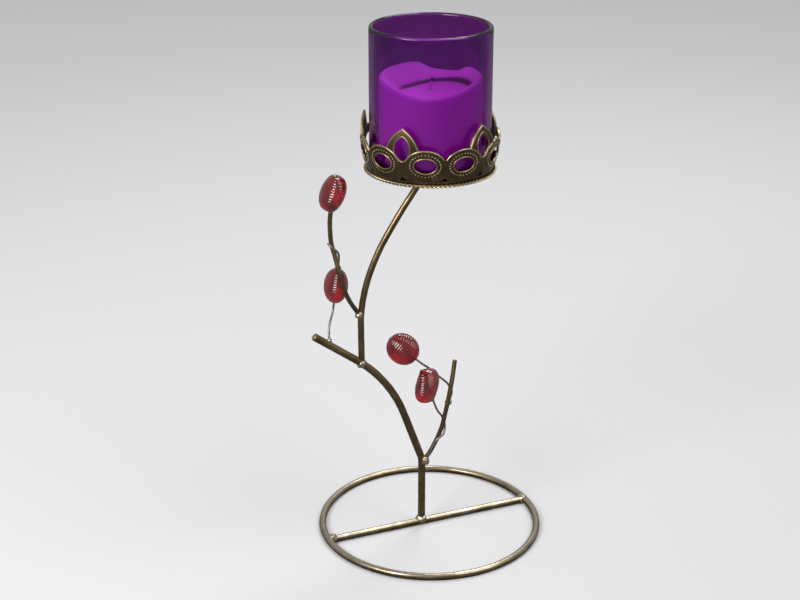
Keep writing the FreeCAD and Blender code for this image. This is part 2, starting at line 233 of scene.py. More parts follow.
@dataclass(frozen=True)
class BronzeFinish:
    """Antique bronze: dark patina, brown where handled, and painted light that turns what faces up towards gold
    and what faces down darker.
    """

    name: str
    dark: Colour
    brown: Colour
    gold: Colour
    patch_scale: float = 70.0
    patch_share: float = 0.5
    grain_scale: float = 2600.0
    # How strongly faces that point up are painted lighter, and faces that point down darker.
    painted_top_light: float = 0.14
    smooth: float = 0.24
    rough: float = 0.38
    grain_depth: float = 0.00005

    def material(self) -> bpy.types.Material:
        """Builds the material.

        Returns:
            The material: patches of noise, and painted light from the upward lean of the surface, choose among
                three metals.
        """
        sheet = NodeSheet(self.name)
        patches = sheet.noise(self.patch_scale, 5.0, 0.62)
        grain = sheet.noise(self.grain_scale, 2.0)
        # Painted light: the upward lean of each face moves it towards gold, and downward faces towards the dark
        # patina.
        lean = sheet.sums("MULTIPLY", sheet.facing_up(), self.painted_top_light)
        mottle = sheet.sums("ADD", sheet.sums("MULTIPLY", patches, self.patch_share),
                            sheet.sums("MULTIPLY", grain, 0.16))
        patina_and_top_light = sheet.sums("ADD", mottle, lean)
        colour = sheet.ramp(patina_and_top_light, ((0.14, self.dark), (0.33, self.brown), (0.56, self.gold)))
        sheet.link(colour, sheet.shader.inputs["Base Color"])
        sheet.link(sheet.spread(patches, self.rough, self.smooth), sheet.shader.inputs["Roughness"])
        sheet.bump(grain, 0.35, self.grain_depth)
        sheet.constants(Metallic=1.0)
        return sheet.material


@dataclass(frozen=True)
class BareMetalFinish:
    """Freshly cut, tinned or soldered metal, with fine scratches."""

    name: str
    dull: Colour
    bright: Colour
    rough: float = 0.32

    def material(self) -> bpy.types.Material:
        """Builds the material from a fine noise between two tones of one metal."""
        sheet = NodeSheet(self.name)
        grain = sheet.noise(1800.0, 3.0)
        sheet.link(sheet.ramp(grain, ((0.35, self.dull), (0.65, self.bright))),
                   sheet.shader.inputs["Base Color"])
        sheet.link(sheet.spread(grain, self.rough, self.rough + 0.15), sheet.shader.inputs["Roughness"])
        sheet.bump(grain, 0.3, 0.00005)
        sheet.constants(Metallic=1.0)
        return sheet.material


@dataclass(frozen=True)
class BeadFinish:
    """Clear red bead glass with cloudy swirls, and painted shade that makes it deeper in the grooves between its
    ribs.
    """

    name: str
    deep: Colour
    light: Colour
    clear: float = 0.72

    def material(self) -> bpy.types.Material:
        """Builds the material: a noise, less the painted shade of the grooves that the tone carries, runs from a
        deep to a light red.
        """
        sheet = NodeSheet(self.name)
        swirl = sheet.noise(160.0, 3.0)
        # Painted shade: the groove tone darkens the recesses between the ribs.
        shade = sheet.sums("SUBTRACT", swirl, sheet.sums("MULTIPLY", sheet.tone(), 0.3))
        sheet.link(sheet.ramp(shade, ((0.2, self.deep), (0.62, self.light))),
                   sheet.shader.inputs["Base Color"])
        sheet.link(sheet.spread(swirl, 0.08, 0.14), sheet.shader.inputs["Roughness"])
        sheet.constants(Transmission_Weight=self.clear, IOR=1.45, Specular_IOR_Level=0.15)
        sheet.constants(Coat_Weight=1.0, Coat_IOR=1.65, Coat_Roughness=0.1)
        return sheet.material


@dataclass(frozen=True)
class TumblerFinish:
    """Purple glass, clearer towards its foot and deeper in tint towards its rim: painted light on the lower wax
    seen through it, and painted shade on the upper glass.
    """

    name: str
    foot: Colour
    rim: Colour
    low: float
    high: float

    def material(self) -> bpy.types.Material:
        """Builds the material: the height and a faint noise run along a ramp of two purples."""
        sheet = NodeSheet(self.name)
        # Painted light and shade: the glass is clearer low down, over the shaded lower wax, and darker towards
        # the rim.
        climb = sheet.spread(sheet.height(), 0.0, 0.9, self.low, self.high)
        streak = sheet.sums("MULTIPLY", sheet.noise(60.0, 2.0), 0.2)
        tint = sheet.ramp(sheet.sums("ADD", climb, streak), ((0.05, self.foot), (0.95, self.rim)))
        sheet.link(tint, sheet.shader.inputs["Base Color"])
        sheet.constants(Transmission_Weight=1.0, IOR=1.5, Roughness=0.015)
        return sheet.material


@dataclass(frozen=True)
class WaxFinish:
    """Lilac wax: light goes deep into it, it is pale on the rim, and painted shadow darkens the edge of the melt
    pool.
    """

    name: str
    crease_shadow: Colour
    lilac: Colour
    pale: Colour
    light_depth: float = 0.008

    def material(self) -> bpy.types.Material:
        """Builds the material: the tone of each point and a soft noise choose among three shades."""
        sheet = NodeSheet(self.name)
        cloud = sheet.noise(120.0, 4.0)
        shade = sheet.sums("ADD", sheet.sums("MULTIPLY", cloud, 0.3), sheet.tone())
        # The darkest stop is painted shadow for the crease at the foot of the melt pool's far slope; less light
        # goes into it, so it stays dark.
        colour = sheet.ramp(shade, ((0.1, self.crease_shadow), (0.4, self.lilac), (0.95, self.pale)))
        sheet.link(colour, sheet.shader.inputs["Base Color"])
        sheet.link(sheet.spread(cloud, 0.35, 0.6), sheet.shader.inputs["Roughness"])
        sheet.bump(sheet.noise(420.0, 4.0), 0.3, 0.0004)
        sheet.link(sheet.spread(shade, 0.0, 0.8, 0.1, 0.45), sheet.shader.inputs["Subsurface Weight"])
        sheet.constants(Subsurface_Scale=self.light_depth)
        sheet.shader.inputs["Subsurface Radius"].default_value = (1.0, 0.5, 0.95)
        return sheet.material


@dataclass(frozen=True)
class CottonFinish:
    """Braided cotton, charred towards its tip."""

    name: str
    waxed: Colour
    charred: Colour

    def material(self) -> bpy.types.Material:
        """Builds the material: the tone of each point runs from waxed cotton to char."""
        sheet = NodeSheet(self.name)
        fibre = sheet.noise(3000.0, 2.0)
        shade = sheet.sums("ADD", sheet.sums("MULTIPLY", fibre, 0.3), sheet.tone())
        sheet.link(sheet.ramp(shade, ((0.3, self.waxed), (0.8, self.charred))),
                   sheet.shader.inputs["Base Color"])
        sheet.bump(fibre, 0.6, 0.0002)
        sheet.constants(Roughness=0.9)
        return sheet.material


@dataclass(frozen=True)
class PaperFinish:
    """Pale studio paper, darker in reflections so that glass and metal keep their depth."""

    name: str
    colour: Colour
    shade: Colour
    mirrored: Colour

    def material(self) -> bpy.types.Material:
        """Builds the material from a faint noise between two pale tones, and a dark one for glossy rays."""
        sheet = NodeSheet(self.name)
        fibre = sheet.noise(900.0, 3.0)
        mix = sheet.tree.nodes.new("ShaderNodeMixRGB")
        sheet.link(sheet.tree.nodes.new("ShaderNodeLightPath").outputs["Is Glossy Ray"], mix.inputs["Fac"])
        sheet.link(sheet.ramp(fibre, ((0.3, self.shade), (0.7, self.colour))), mix.inputs["Color1"])
        mix.inputs["Color2"].default_value = (*self.mirrored, 1.0)
        sheet.link(mix.outputs["Color"], sheet.shader.inputs["Base Color"])
        sheet.constants(Roughness=0.9, Specular_IOR_Level=0.2)
        return sheet.material


@dataclass(frozen=True)
class Palette:
    """Every finish of the holder, as built materials."""

    rod: bpy.types.Material
    foot: bpy.types.Material
    twig: bpy.types.Material
    wire: bpy.types.Material
    weld: bpy.types.Material
    cup: bpy.types.Material
    relief: bpy.types.Material
    cut_end: bpy.types.Material
    bead: bpy.types.Material
    glass: bpy.types.Material
    wax: bpy.types.Material
    cotton: bpy.types.Material
    tin: bpy.types.Material

    @classmethod
    def mixed(cls) -> "Palette":
        """Mixes every finish.

        Returns:
            The palette.
        """
        dark, brown, gold = (0.065, 0.045, 0.022), (0.21, 0.147, 0.070), (0.50, 0.38, 0.20)
        glass_low, glass_high = (float(corner.z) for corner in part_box("votive_glass"))
        return cls(
            rod=BronzeFinish("rod_bronze", dark, brown, gold).material(),
            # The foot's silvery third tone and stronger upward lean paint a highlight along the tops of the ring
            # and bar.
            foot=BronzeFinish("foot_bronze", dark, brown, (0.63, 0.56, 0.42), painted_top_light=0.19,
                              smooth=0.2).material(),
            twig=BronzeFinish("twig_bronze", dark, brown, gold, patch_scale=110.0, painted_top_light=0.12).material(),
            wire=BareMetalFinish("wire_metal", (0.20, 0.175, 0.13), (0.52, 0.48, 0.40)).material(),
            weld=BronzeFinish("weld_bronze", gold, (0.48, 0.41, 0.29), (0.78, 0.72, 0.60), 420.0).material(),
            cup=BronzeFinish("cup_bronze", dark, (0.135, 0.105, 0.056), gold, patch_scale=160.0,
                             painted_top_light=0.1).material(),
            relief=BronzeFinish("relief_bronze", brown, gold, (0.70, 0.60, 0.40),
                                patch_scale=200.0).material(),
            cut_end=BareMetalFinish("cut_end_metal", (0.42, 0.35, 0.22), (0.72, 0.62, 0.44)).material(),
            bead=BeadFinish("bead_red", (0.10, 0.001, 0.002), (0.70, 0.006, 0.012)).material(),
            glass=TumblerFinish("tumbler_purple", (0.80, 0.12, 0.85), (0.42, 0.070, 0.56),
                                glass_low, glass_high).material(),
            wax=WaxFinish("candle_wax", (0.08, 0.012, 0.08), (0.82, 0.42, 0.82),
                          (0.90, 0.60, 0.89)).material(),
            cotton=CottonFinish("wick_cotton", (0.74, 0.52, 0.72), (0.04, 0.025, 0.035)).material(),
            tin=BareMetalFinish("wick_foot_tin", (0.45, 0.45, 0.46), (0.7, 0.7, 0.7)).material(),
        )


# Surfaces

def unit(vectors: np.ndarray) -> np.ndarray:
    """Vectors at length one, along the last axis."""
    return vectors / np.linalg.norm(vectors, axis=-1, keepdims=True)


@dataclass
class Shell:
    """A closed surface: points, its faces of four and three corners, and a tone for each point."""

    points: np.ndarray
    quads: np.ndarray
    triangles: np.ndarray
    tones: np.ndarray

    @classmethod
    def from_grid(cls, grid: np.ndarray, tones: np.ndarray | None = None, ring: bool = False) -> "Shell":
        """Joins a grid of points, whose columns run round, into a closed surface.

        Args:
            grid: Points by row and column.
            tones: A tone by row and column, or none.
            ring: Whether the last row joins the first; otherwise a fan to its middle closes each end row.

        Returns:
            The surface.
        """
        rows, columns = grid.shape[:2]
        tones = np.zeros((rows, columns)) if tones is None else np.broadcast_to(tones, (rows, columns))
        index = np.arange(rows * columns).reshape(rows, columns)
        index = np.hstack([index, index[:, :1]])
        triangles = np.empty((0, 3), int)
        points, values = grid.reshape(-1, 3), tones.reshape(-1)
        if ring:
            index = np.vstack([index, index[:1]])
        else:
            middles = np.stack([grid[0].mean(axis=0), grid[-1].mean(axis=0)])
            points = np.vstack([points, middles])
            values = np.hstack([values, tones[0, 0], tones[-1, 0]])
            last = rows * columns
            first_fan = np.stack([index[0, 1:], index[0, :-1], np.full(columns, last)], axis=1)
            last_fan = np.stack([index[-1, :-1], index[-1, 1:], np.full(columns, last + 1)], axis=1)
            triangles = np.vstack([first_fan, last_fan])
        corners = (index[:-1, :-1], index[:-1, 1:], index[1:, 1:], index[1:, :-1])
        return cls(points, np.stack(corners, axis=-1).reshape(-1, 4), triangles, values)

    @classmethod
    def joined(cls, shells: Sequence["Shell"]) -> "Shell":
        """Puts several surfaces into one.

        Args:
            shells: The surfaces.

        Returns:
            One surface with all their faces.
        """
        starts = np.cumsum([0] + [len(shell.points) for shell in shells[:-1]])
        return cls(
            np.vstack([shell.points for shell in shells]),
            np.vstack([shell.quads + start for shell, start in zip(shells, starts)]),
            np.vstack([shell.triangles + start for shell, start in zip(shells, starts)]),
            np.hstack([shell.tones for shell in shells]),
        )

    def copies(self, centres: np.ndarray) -> "Shell":
        """Repeats the surface at several places.

        Args:
            centres: The places, one row each.

        Returns:
            One surface with a copy at each place.
        """
        count, size = len(centres), len(self.points)
        shifts = (np.arange(count) * size)[:, None, None]
        return Shell(
            (centres[:, None, :] + self.points).reshape(-1, 3),
            (shifts + self.quads).reshape(-1, 4),
            (shifts + self.triangles).reshape(-1, 3),
            np.tile(self.tones, count),
        )


def make_piece(name: str, shell: Shell, finishes: Sequence[bpy.types.Material], body: Body,
               replaced: Sequence[str] = ()) -> bpy.types.Object:
    """Makes a surface into a piece of the holder.

    Args:
        name: The piece's name.
        shell: Its surface.
        finishes: Its finish, and a second one for the fans that close its ends if they differ.
        body: The body that it rides on.
        replaced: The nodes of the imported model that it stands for.

    Returns:
        The new object, at the origin with its place in its mesh.
    """
    mesh = bpy.data.meshes.new(name)
    mesh.from_pydata(shell.points.tolist(), [], shell.quads.tolist() + shell.triangles.tolist())
    for finish in finishes:
        mesh.materials.append(finish)
    kinds = np.zeros(len(mesh.polygons), np.int32)
    kinds[len(shell.quads):] = len(finishes) - 1
    mesh.polygons.foreach_set("material_index", kinds)
    mesh.attributes.new("tone", "FLOAT", "POINT").data.foreach_set("value", shell.tones.astype(np.float32))
    work = bmesh.new()
    work.from_mesh(mesh)
    bmesh.ops.recalc_face_normals(work, faces=work.faces)
    work.to_mesh(mesh)
    work.free()
    mesh.shade_smooth()
    mesh.set_sharp_from_angle(angle=SMOOTH_ANGLE)
    piece = bpy.data.objects.new(name, mesh)
    bpy.context.scene.collection.objects.link(piece)
    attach(piece, body.value)
    if replaced:
        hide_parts(*replaced)
    log.info("%s: %d faces on %s", name, len(mesh.polygons), body.value)
    return piece


def dress_node(name: str, finish: bpy.types.Material) -> None:
    """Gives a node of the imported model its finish.

    Args:
        name: The node's name.
        finish: Its material.
    """
    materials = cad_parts[name].data.materials
    materials.clear()
    materials.append(finish)
    log.info("%s: dressed", name)


def node_axis(name: str) -> np.ndarray:
    """The middle of a node's box, at the height of the ground.

    Args:
        name: The node's name.

    Returns:
        The point.
    """
    low, high = (np.array(corner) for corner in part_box(name))
    return (low + high) / 2 * np.array([1, 1, 0])


def waves(along: np.ndarray, around: np.ndarray, seed: int, pitch: float = 0.012) -> np.ndarray:
    """Smooth hand-made unevenness, from about -1 to 1.

    The mean of seven sine waves, each with its own pitch along the piece, whole turns round it and start.

    Args:
        along: Distance along the piece.
        around: Angle round it.
        seed: Which set of waves.
        pitch: The typical wave's length.

    Returns:
        The unevenness at each place.
    """
    draw = np.random.default_rng(seed)
    paces = math.tau / pitch * draw.uniform(0.4, 2.2, 7)
    turns = draw.integers(-3, 4, 7)
    starts = draw.uniform(0, math.tau, 7)
    phases = along[..., None] * paces + around[..., None] * turns + starts
    return np.sin(phases).mean(axis=-1) * 2


def rounded_route(corners: np.ndarray, shares: Sequence[float], arc_steps: int = 12) -> np.ndarray:
    """Straight runs joined by tangent arcs.

    At each corner the arc starts and ends at its share of the shorter run. Its centre lies on the line that
    halves the corner, and its points turn evenly about that centre.

    Args:
        corners: The corners, one row each.
        shares: The share for each inner corner.
        arc_steps: Steps along each arc.

    Returns:
        The points of the route.
    """
    parts = [corners[:1]]
    sweep = np.linspace(-1, 1, arc_steps + 1)[:, None]
    for before, corner, after, share in zip(corners, corners[1:], corners[2:], shares):
        back, ahead = unit(before - corner), unit(after - corner)
        cut = share * min(np.linalg.norm(before - corner), np.linalg.norm(after - corner))
        half_turn = (math.pi - math.acos(np.clip(back @ ahead, -1, 1))) / 2
        radius = cut / math.tan(half_turn)
        inward, across = unit(back + ahead), unit(ahead - back)
        centre = corner + inward * radius / math.cos(half_turn)
        turn = sweep * half_turn
        parts.append(centre + radius * (np.sin(turn) * across - np.cos(turn) * inward))
    return np.vstack(parts + [corners[-1:]])


def travelled(route: np.ndarray) -> np.ndarray:
    """The distance along a route at each of its points."""
    steps = np.linalg.norm(np.diff(route, axis=0), axis=1)
    return np.hstack([0, np.cumsum(steps)])


def along_route(route: np.ndarray, distances: np.ndarray) -> np.ndarray:
    """Points at given distances along a route.

    Args:
        route: The points of the route.
        distances: How far along.

    Returns:
        One point for each distance.
    """
    reached = travelled(route)
    return np.stack([np.interp(distances, reached, route[:, axis]) for axis in range(3)], axis=1)


def side_frames(route: np.ndarray) -> tuple[np.ndarray, np.ndarray]:
    """Two directions across a route at each of its points.

    One fixed direction, the one of a set that is least in line with any part of the route, is made square to
    the route at each point, and the second direction is square to both.

    Args:
        route: The points of the route.

    Returns:
        The two directions at each point.
    """
    tangents = unit(np.gradient(route, axis=0))
    ways = np.stack(np.meshgrid([-1, 0, 1], [-1, 0, 1], [0, 1]), axis=-1).reshape(-1, 3)
    ways = unit(ways[np.abs(ways).sum(axis=1) > 0].astype(float))
    in_line = np.abs(tangents @ ways.T).max(axis=0)
    fixed = ways[in_line.argmin()]
    first = unit(fixed - tangents * (tangents @ fixed)[:, None])
    return first, np.cross(tangents, first)


@dataclass(frozen=True)
class RodShape:
    """A round rod or wire, a little uneven along its length, with its ends eased."""

    diameter: float
    sides: int = 20
    spacing: float = 0.0011
    unevenness: float = 0.018
    ease: float = 0.00035
    seed: int = 1

    def shell(self, route: np.ndarray) -> Shell:
        """Carries a circle along a route.

        The radius is half the diameter times one plus the unevenness, and narrows over the last bit at each end.

        Args:
            route: The points of the route.

        Returns:
            The rod's surface.
        """
        length = travelled(route)[-1]
        inner = np.linspace(self.ease, length - self.ease, max(int(length / self.spacing), 6))
        distances = np.hstack([0, inner, length])
        points = along_route(route, distances)
        first, second = side_frames(points)
        around = np.linspace(0, math.tau, self.sides, endpoint=False)[None, :]
        far = distances[:, None]
        radius = self.diameter / 2 * (1 + self.unevenness * waves(far, around, self.seed))
        radius[[0, -1]] -= self.ease
        ring = np.cos(around)[..., None] * first[:, None] + np.sin(around)[..., None] * second[:, None]
        return Shell.from_grid(points[:, None] + radius[..., None] * ring)


def blob_shell(centre: np.ndarray, half_sizes: np.ndarray, seed: int, lumps: float = 0.09) -> Shell:
    """A lump of weld metal.

    A sphere by angle from its pole and angle round it, stretched to the half sizes, with its radius raised and
    lowered by smooth waves.

    Args:
        centre: Its middle.
        half_sizes: Half its size along X, Y and Z.
        seed: Which set of waves.
        lumps: How strong the waves are.

    Returns:
        The lump's surface.
    """
    down = np.linspace(0.12, math.pi - 0.12, 20)[:, None]
    around = np.linspace(0, math.tau, 28, endpoint=False)[None, :]
    radius = 1 - lumps + lumps * np.clip(waves(down * 0.004, around, seed), -1, 1)
    ball = np.stack([np.sin(down) * np.cos(around), np.sin(down) * np.sin(around),
                     np.broadcast_to(np.cos(down), (20, 28))], axis=-1)
    return Shell.from_grid(centre + radius[..., None] * ball * half_sizes)


def weld_piece(name: str, node: str, seed: int, palette: Palette) -> None:
    """Makes the weld that stands for one node, to the size of the node's box.

    Args:
        name: The piece's name.
        node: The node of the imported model.
        seed: Which set of lumps.
        palette: The finishes.
    """
    low, high = (np.array(corner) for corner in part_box(node))
    shell = blob_shell((low + high) / 2, (high - low) / 2, seed)
    make_piece(name, shell, [palette.weld], Body.STAND, [node])


def circle_through(across: Row, heights: Row) -> tuple[float, float, float]:
    """The circle through three points, from their equal distances to its centre.

    Args:
        across: The points' places across.
        heights: The points' heights.

    Returns:
        The centre's place across and height, and the radius.
    """
    places = np.stack([across, heights], axis=1)
    squares = (places ** 2).sum(axis=1)
    centre = np.linalg.solve(2 * (places[1:] - places[0]), squares[1:] - squares[0])
    return centre[0], centre[1], float(np.linalg.norm(places[0] - centre))


# Stand

@dataclass
class Foot:
    """The base ring, the bar across it and their welds."""

    ring_radius: float = 0.062
    ring_rod: float = 0.004
    flat_depth: float = 0.00025
    bar_rod: float = 0.0038
    bar_floor_gap: float = 0.0003
    end_weld_half_sizes: Row = (0.003, 0.0031, 0.0029)
    end_weld_height: float = 0.0029
    ring_steps: int = 320
    ring_sides: int = 24

    @property
    def bar_height(self) -> float:
        """The height of the bar's middle line."""
        return self.bar_rod / 2 + self.bar_floor_gap

    def ring_shell(self) -> Shell:
        """The ring.

        A circle carried round a larger circle, a little uneven, with everything under the ground pressed flat.

        Returns:
            The ring's surface.
        """
        turn = np.linspace(0, math.tau, self.ring_steps, endpoint=False)[:, None]
        around = np.linspace(0, math.tau, self.ring_sides, endpoint=False)[None, :]
        centre_height = self.ring_rod / 2 - self.flat_depth
        radius = self.ring_rod / 2 * (1 - 0.012 + 0.012 * waves(around * 0, turn * 9 + around, 5))
        reach = self.ring_radius + radius * np.cos(around)
        height = np.maximum(centre_height + radius * np.sin(around), 0)
        grid = np.stack([reach * np.cos(turn), reach * np.sin(turn), height], axis=-1)
        return Shell.from_grid(grid, ring=True)

    def build(self, palette: Palette) -> None:
        """Builds and dresses the foot.

        Args:
            palette: The finishes.
        """
        make_piece("foot_ring", self.ring_shell(), [palette.foot], Body.STAND, ["base_ring"])
        reach = self.ring_radius - self.ring_rod / 4
        bar_ends = np.array([[-reach, 0, self.bar_height], [reach, 0, self.bar_height]])
        bar = RodShape(self.bar_rod, sides=24, seed=6).shell(bar_ends)
        make_piece("foot_bar", bar, [palette.foot], Body.STAND, ["crossbar"])
        weld_reach = self.ring_radius - self.ring_rod / 2
        half_sizes = np.array(self.end_weld_half_sizes)
        places = [np.array([side * weld_reach, 0, self.end_weld_height]) for side in (-1, 1)]
        welds = [blob_shell(place, half_sizes, seed) for seed, place in enumerate(places, start=21)]
        make_piece("foot_bar_welds", Shell.joined(welds), [palette.weld], Body.STAND,
                   ["crossbar_end_welds"])


def shares_to_points(root: np.ndarray, sizes: np.ndarray, shares: Sequence[Row]) -> np.ndarray:
    """Points of a rod: each row of shares goes along X, Y and Z from its root.

    Args:
        root: The rod's start.
        sizes: Its reach, sway and rise.
        shares: Rows of shares of those sizes.

    Returns:
        The points, one row each.
    """
    return root + np.array(shares) * sizes


def point_at_height(points: np.ndarray, height: float) -> np.ndarray:
    """The point at a height on runs that climb.

    Args:
        points: The ends of the runs.
        height: The height.

    Returns:
        The point.
    """
    return np.array([np.interp(height, points[:, 2], points[:, axis]) for axis in range(3)])


@dataclass
class Stems:
    """The lower stem on the bar, the upper stem that carries the cup, and their welds."""

    foot: Foot
    lower_rod: float = 0.0042
    foot_offset: float = 0.005
    lower_reach: float = 0.0636
    lower_rise: float = 0.127
    lower_shares: tuple[Row, ...] = ((0, 0, 0), (0, 0, 0.319), (0.307, 0, 0.743), (1, 0, 1))
    lower_bend_shares: Row = (0.05, 0.45)
    upper_rod: float = 0.0035
    seat_share: float = 0.569
    upper_reach: float = 0.0392
    upper_shares: tuple[Row, ...] = (
        (0, 0, 0), (-0.008, 0, 0.287), (0.082, 0, 0.4445), (0.26, 0, 0.602), (0.554, 0, 0.774), (1, 0, 1))
    upper_bend_share: float = 0.45
    plate_sink: float = 0.0006
    lower_points: np.ndarray = field(init=False)
    upper_points: np.ndarray = field(init=False)
    upper_rise: float = field(init=False)

    def __post_init__(self) -> None:
        """Works out the corners of both stems."""
        root = np.array([-self.foot_offset, 0, self.foot.bar_height])
        self.lower_points = shares_to_points(
            root, np.array([-self.lower_reach, 1, self.lower_rise]), self.lower_shares)
        route = self.lower_route()
        seat_x = -self.foot_offset - self.lower_reach * self.seat_share
        seat_z = float(np.interp(-seat_x, -route[:, 0], route[:, 2]))
        self.upper_rise = float(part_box("cup_plate")[0].z) - seat_z
        sizes = np.array([self.upper_reach, 1, self.upper_rise])
        self.upper_points = shares_to_points(np.array([seat_x, 0, seat_z]), sizes, self.upper_shares)

    def lower_route(self) -> np.ndarray:
        """The points of the lower stem's route."""
        return rounded_route(self.lower_points, self.lower_bend_shares)

    def build(self, palette: Palette) -> None:
        """Builds and dresses both stems.

        Args:
            palette: The finishes.
        """
        lower = RodShape(self.lower_rod, sides=24, seed=7).shell(self.lower_route())
        make_piece("stem_low", lower, [palette.rod, palette.cut_end], Body.STAND, ["lower_stem"])
        corners = self.upper_points.copy()
        corners[-1] += unit(corners[-1] - corners[-2]) * self.plate_sink
        route = rounded_route(corners, [self.upper_bend_share] * (len(corners) - 2))
        upper = RodShape(self.upper_rod, sides=24, seed=8).shell(route)
        make_piece("stem_high", upper, [palette.rod], Body.STAND, ["upper_stem"])
        welds = (("weld_stem_foot", "stem_foot_weld"), ("weld_stem_joint", "stem_joint_weld"),
                 ("weld_plate", "plate_weld"))
        for seed, (name, node) in enumerate(welds, start=31):
            weld_piece(name, node, seed, palette)


@dataclass(frozen=True)
class BeadShape:
    """An oval bead, flatter one way than the other, with fine ribs round it."""

    width: float = 0.0174
    depth: float = 0.0126
    length: float = 0.019
    ribs: int = 14
    rib_depth: float = 0.00022
    rows: int = 240
    columns: int = 72

    def shell(self, centre: np.ndarray, direction: np.ndarray, wide: np.ndarray, bore: float,
              lean: float = 0.0) -> Shell:
        """The bead's surface, with its bore.

        By angle from end to end and angle round: both half widths follow a sine from the bore to the waist, and
        the length follows a cosine. The ribs are round, a sine of the length without its sign, with sharp grooves
        between them that are cut into the half widths and die away at the ends. A leaning bead shifts along X by
        its lean times the length, and not at all at its ends. The tone is the groove.

        Args:
            centre: The bead's middle.
            direction: The way of its bore.
            wide: Which way its wider side lies, roughly.
            bore: The bore's diameter.
            lean: How far it leans along X off its bore, as a slope.

        Returns:
            The bead's surface.
        """
        axis = unit(direction)
        across = unit(wide - axis * (wide @ axis))
        other = np.cross(axis, across)
        along = np.linspace(0, math.pi, self.rows)[:, None]
        around = np.linspace(0, math.tau, self.columns, endpoint=False)[None, :]
        swell = np.sin(along)
        groove = 1 - np.abs(np.sin(self.ribs * math.pi * (0.5 - 0.5 * np.cos(along))))
        cut = self.rib_depth * groove * swell ** 0.5
        half_width = bore / 2 + (self.width - bore) / 2 * swell - cut
        half_depth = bore / 2 + (self.depth - bore) / 2 * swell - cut
        lift = -self.length / 2 * np.cos(along) * np.ones_like(around)
        grid = (centre + (half_width * np.cos(around))[..., None] * across
                + (half_depth * np.sin(around))[..., None] * other + lift[..., None] * axis
                + (lean * lift * swell * (1.6 - 0.6 * swell))[..., None] * ALONG)
        # The groove is also the tone, which the bead's finish darkens as painted shade.
        return Shell.from_grid(grid, groove, ring=True)

    def beyond(self, centre: np.ndarray, direction: np.ndarray, proud: float) -> np.ndarray:
        """The wire's end, a little past the bead."""
        return centre + unit(direction) * (self.length / 2 + proud)


